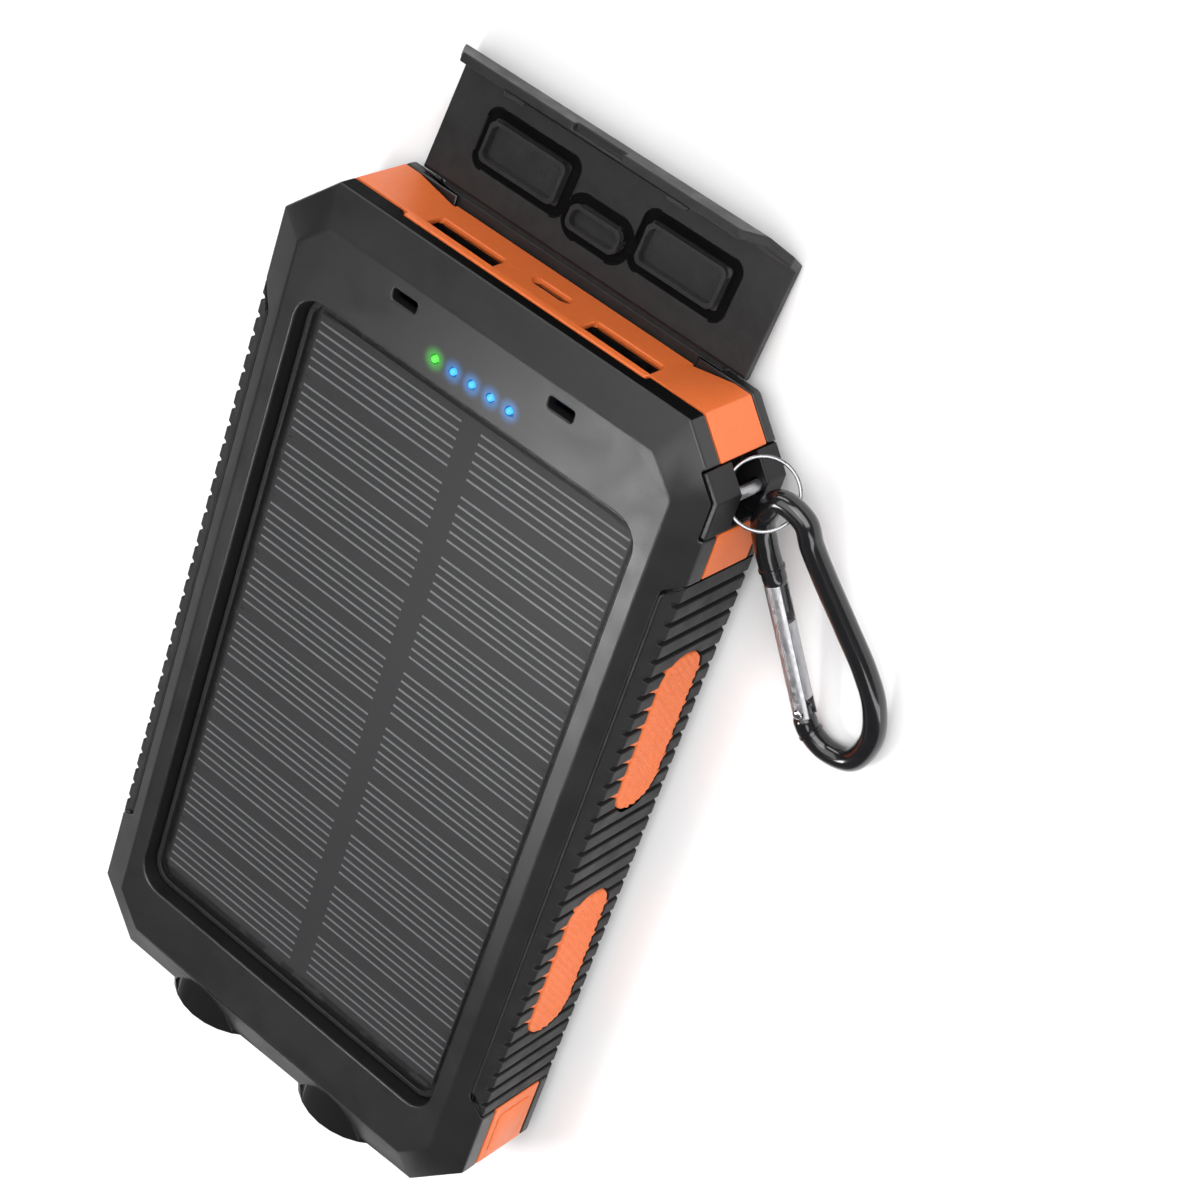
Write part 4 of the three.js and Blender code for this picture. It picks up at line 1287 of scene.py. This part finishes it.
class CHARGER_OT_studio(bpy.types.Operator):
    """Set the pale floor, the soft lights and the camera"""

    bl_idname = "charger.studio"
    bl_label = "Set up the studio"

    def execute(self, context):
        scene = context.scene
        settings = scene.charger_studio
        form = bmesh.new()
        bmesh.ops.create_grid(form, x_segments=8, y_segments=8, size=4.0)
        mesh = bpy.data.meshes.new("studio_floor")
        form.to_mesh(mesh)
        form.free()
        floor = bpy.data.objects.new("studio_floor", mesh)
        floor.location.z = -0.02 * MM
        scene.collection.objects.link(floor)
        paper, shader = surface("Studio paper", settings.floor, 0.85)
        tint(paper, shader, settings.floor, 0.01, noise(paper, 40 * MM, 3))
        self.brighten_far_floor(paper, shader)
        paint(floor, paper)

        world = bpy.data.worlds.new("Studio")
        world.use_nodes = True
        self.light_world(world, settings.sky)
        scene.world = world

        middle = (0, 0, 0.01)
        soft_light("Key softbox", (0.55, 0.65, 0.85), middle, settings.key, (1.0, 0.8))
        port_end = (0.03, 0.047, 0.022)
        soft_light("Sheen softbox", (-0.048, -0.068, 0.215), port_end, settings.sheen, (0.07, 0.07))
        soft_light("Overhead softbox", (0, 0.3, 1.1), middle, settings.overhead, (0.9, 0.9))
        soft_light("Port side strip", (-0.25, 0.6, 0.35), middle, settings.fill, (0.5, 0.16))
        soft_light("Right side strip", (0.65, -0.1, 0.28), middle, settings.fill, (0.16, 0.6))
        soft_light("Rear side strip", (-0.2, -0.8, 0.25), middle, settings.fill * 0.1, (0.6, 0.4))

        data = bpy.data.cameras.new("Camera")
        camera = bpy.data.objects.new("Camera", data)
        scene.collection.objects.link(camera)
        data.sensor_width = 36
        data.lens = 88.11
        data.clip_start = 0.01
        data.clip_end = 20
        right = Vector((0.74534, 0.28848, -0.60105))
        up = Vector((-0.53918, 0.79108, -0.28893))
        back = Vector((0.39212, 0.53942, 0.74516))
        turn = Matrix((right, up, back)).transposed()
        camera.matrix_world = Matrix.Translation((0.18454, 0.25463, 0.31619)) @ turn.to_4x4()
        scene.camera = camera
        scene.view_settings.view_transform = "Standard"
        return {"FINISHED"}

    def light_world(self, world, sky):
        """Even dim light from above, with a bright band along the horizon."""
        tree = world.node_tree
        background = tree.nodes["Background"]
        background.inputs["Color"].default_value = (1, 1, 1, 1)
        place = tree.nodes.new("ShaderNodeTexCoord")
        height = tree.nodes.new("ShaderNodeSeparateXYZ")
        wire(world, place.outputs["Generated"], height.inputs["Vector"])
        band = remap(world, height.outputs["Z"], (0.02, 0.14), (0.95, sky))
        wire(world, band, background.inputs["Strength"])

    def brighten_far_floor(self, paper, shader):
        """Lets the paper glow a little far from the charger, where the lights don't reach."""
        reach = add_node(paper, "ShaderNodeVectorMath", operation="LENGTH")
        wire(paper, object_place(paper), reach.inputs[0])
        far = remap(paper, reach.outputs["Value"], (0.35, 1.5), (0, 0.9), "SMOOTHSTEP")
        shader.inputs["Emission Color"].default_value = (1, 1, 1, 1)
        wire(paper, far, shader.inputs["Emission Strength"])


# ---------------------------------------------------------------- the panel and the classes


class CHARGER_PT_build(bpy.types.Panel):
    """The charger's settings and building steps"""

    bl_label = "Solar phone charger"
    bl_idname = "CHARGER_PT_build"
    bl_space_type = "VIEW_3D"
    bl_region_type = "UI"
    bl_category = "Charger"

    def draw(self, context):
        layout = self.layout
        for step in STEPS:
            layout.operator(step.bl_idname)
        for name, settings in SETTINGS.items():
            box = layout.box()
            group = getattr(context.scene, name)
            for key in settings.__annotations__:
                box.prop(group, key)


SETTINGS = {
    "charger_case": CaseSettings,
    "charger_grip": GripSettings,
    "charger_panel": PanelSettings,
    "charger_indicator": IndicatorSettings,
    "charger_cover": CoverSettings,
    "charger_torch": TorchSettings,
    "charger_clip": ClipSettings,
    "charger_studio": StudioSettings,
}

STEPS = (
    CHARGER_OT_studio,
    CHARGER_OT_materials,
    CHARGER_OT_case,
    CHARGER_OT_screws,
    CHARGER_OT_grips,
    CHARGER_OT_pads,
    CHARGER_OT_panel,
    CHARGER_OT_indicators,
    CHARGER_OT_ports,
    CHARGER_OT_cover,
    CHARGER_OT_torches,
    CHARGER_OT_clip,
    CHARGER_OT_inner_parts,
)


def register():
    for settings in SETTINGS.values():
        bpy.utils.register_class(settings)
    for step in (*STEPS, CHARGER_PT_build):
        bpy.utils.register_class(step)
    for name, settings in SETTINGS.items():
        setattr(bpy.types.Scene, name, PointerProperty(type=settings))


def unregister():
    for name in SETTINGS:
        delattr(bpy.types.Scene, name)
    for step in (CHARGER_PT_build, *reversed(STEPS)):
        bpy.utils.unregister_class(step)
    for settings in reversed(SETTINGS.values()):
        bpy.utils.unregister_class(settings)


def main():
    register()
    for step in STEPS:
        section_name, step_name = step.bl_idname.split(".")
        done = getattr(getattr(bpy.ops, section_name), step_name)()
        if done != {"FINISHED"}:
            raise RuntimeError(f"{step.bl_label} did not finish")


if __name__ == "__main__":
    main()
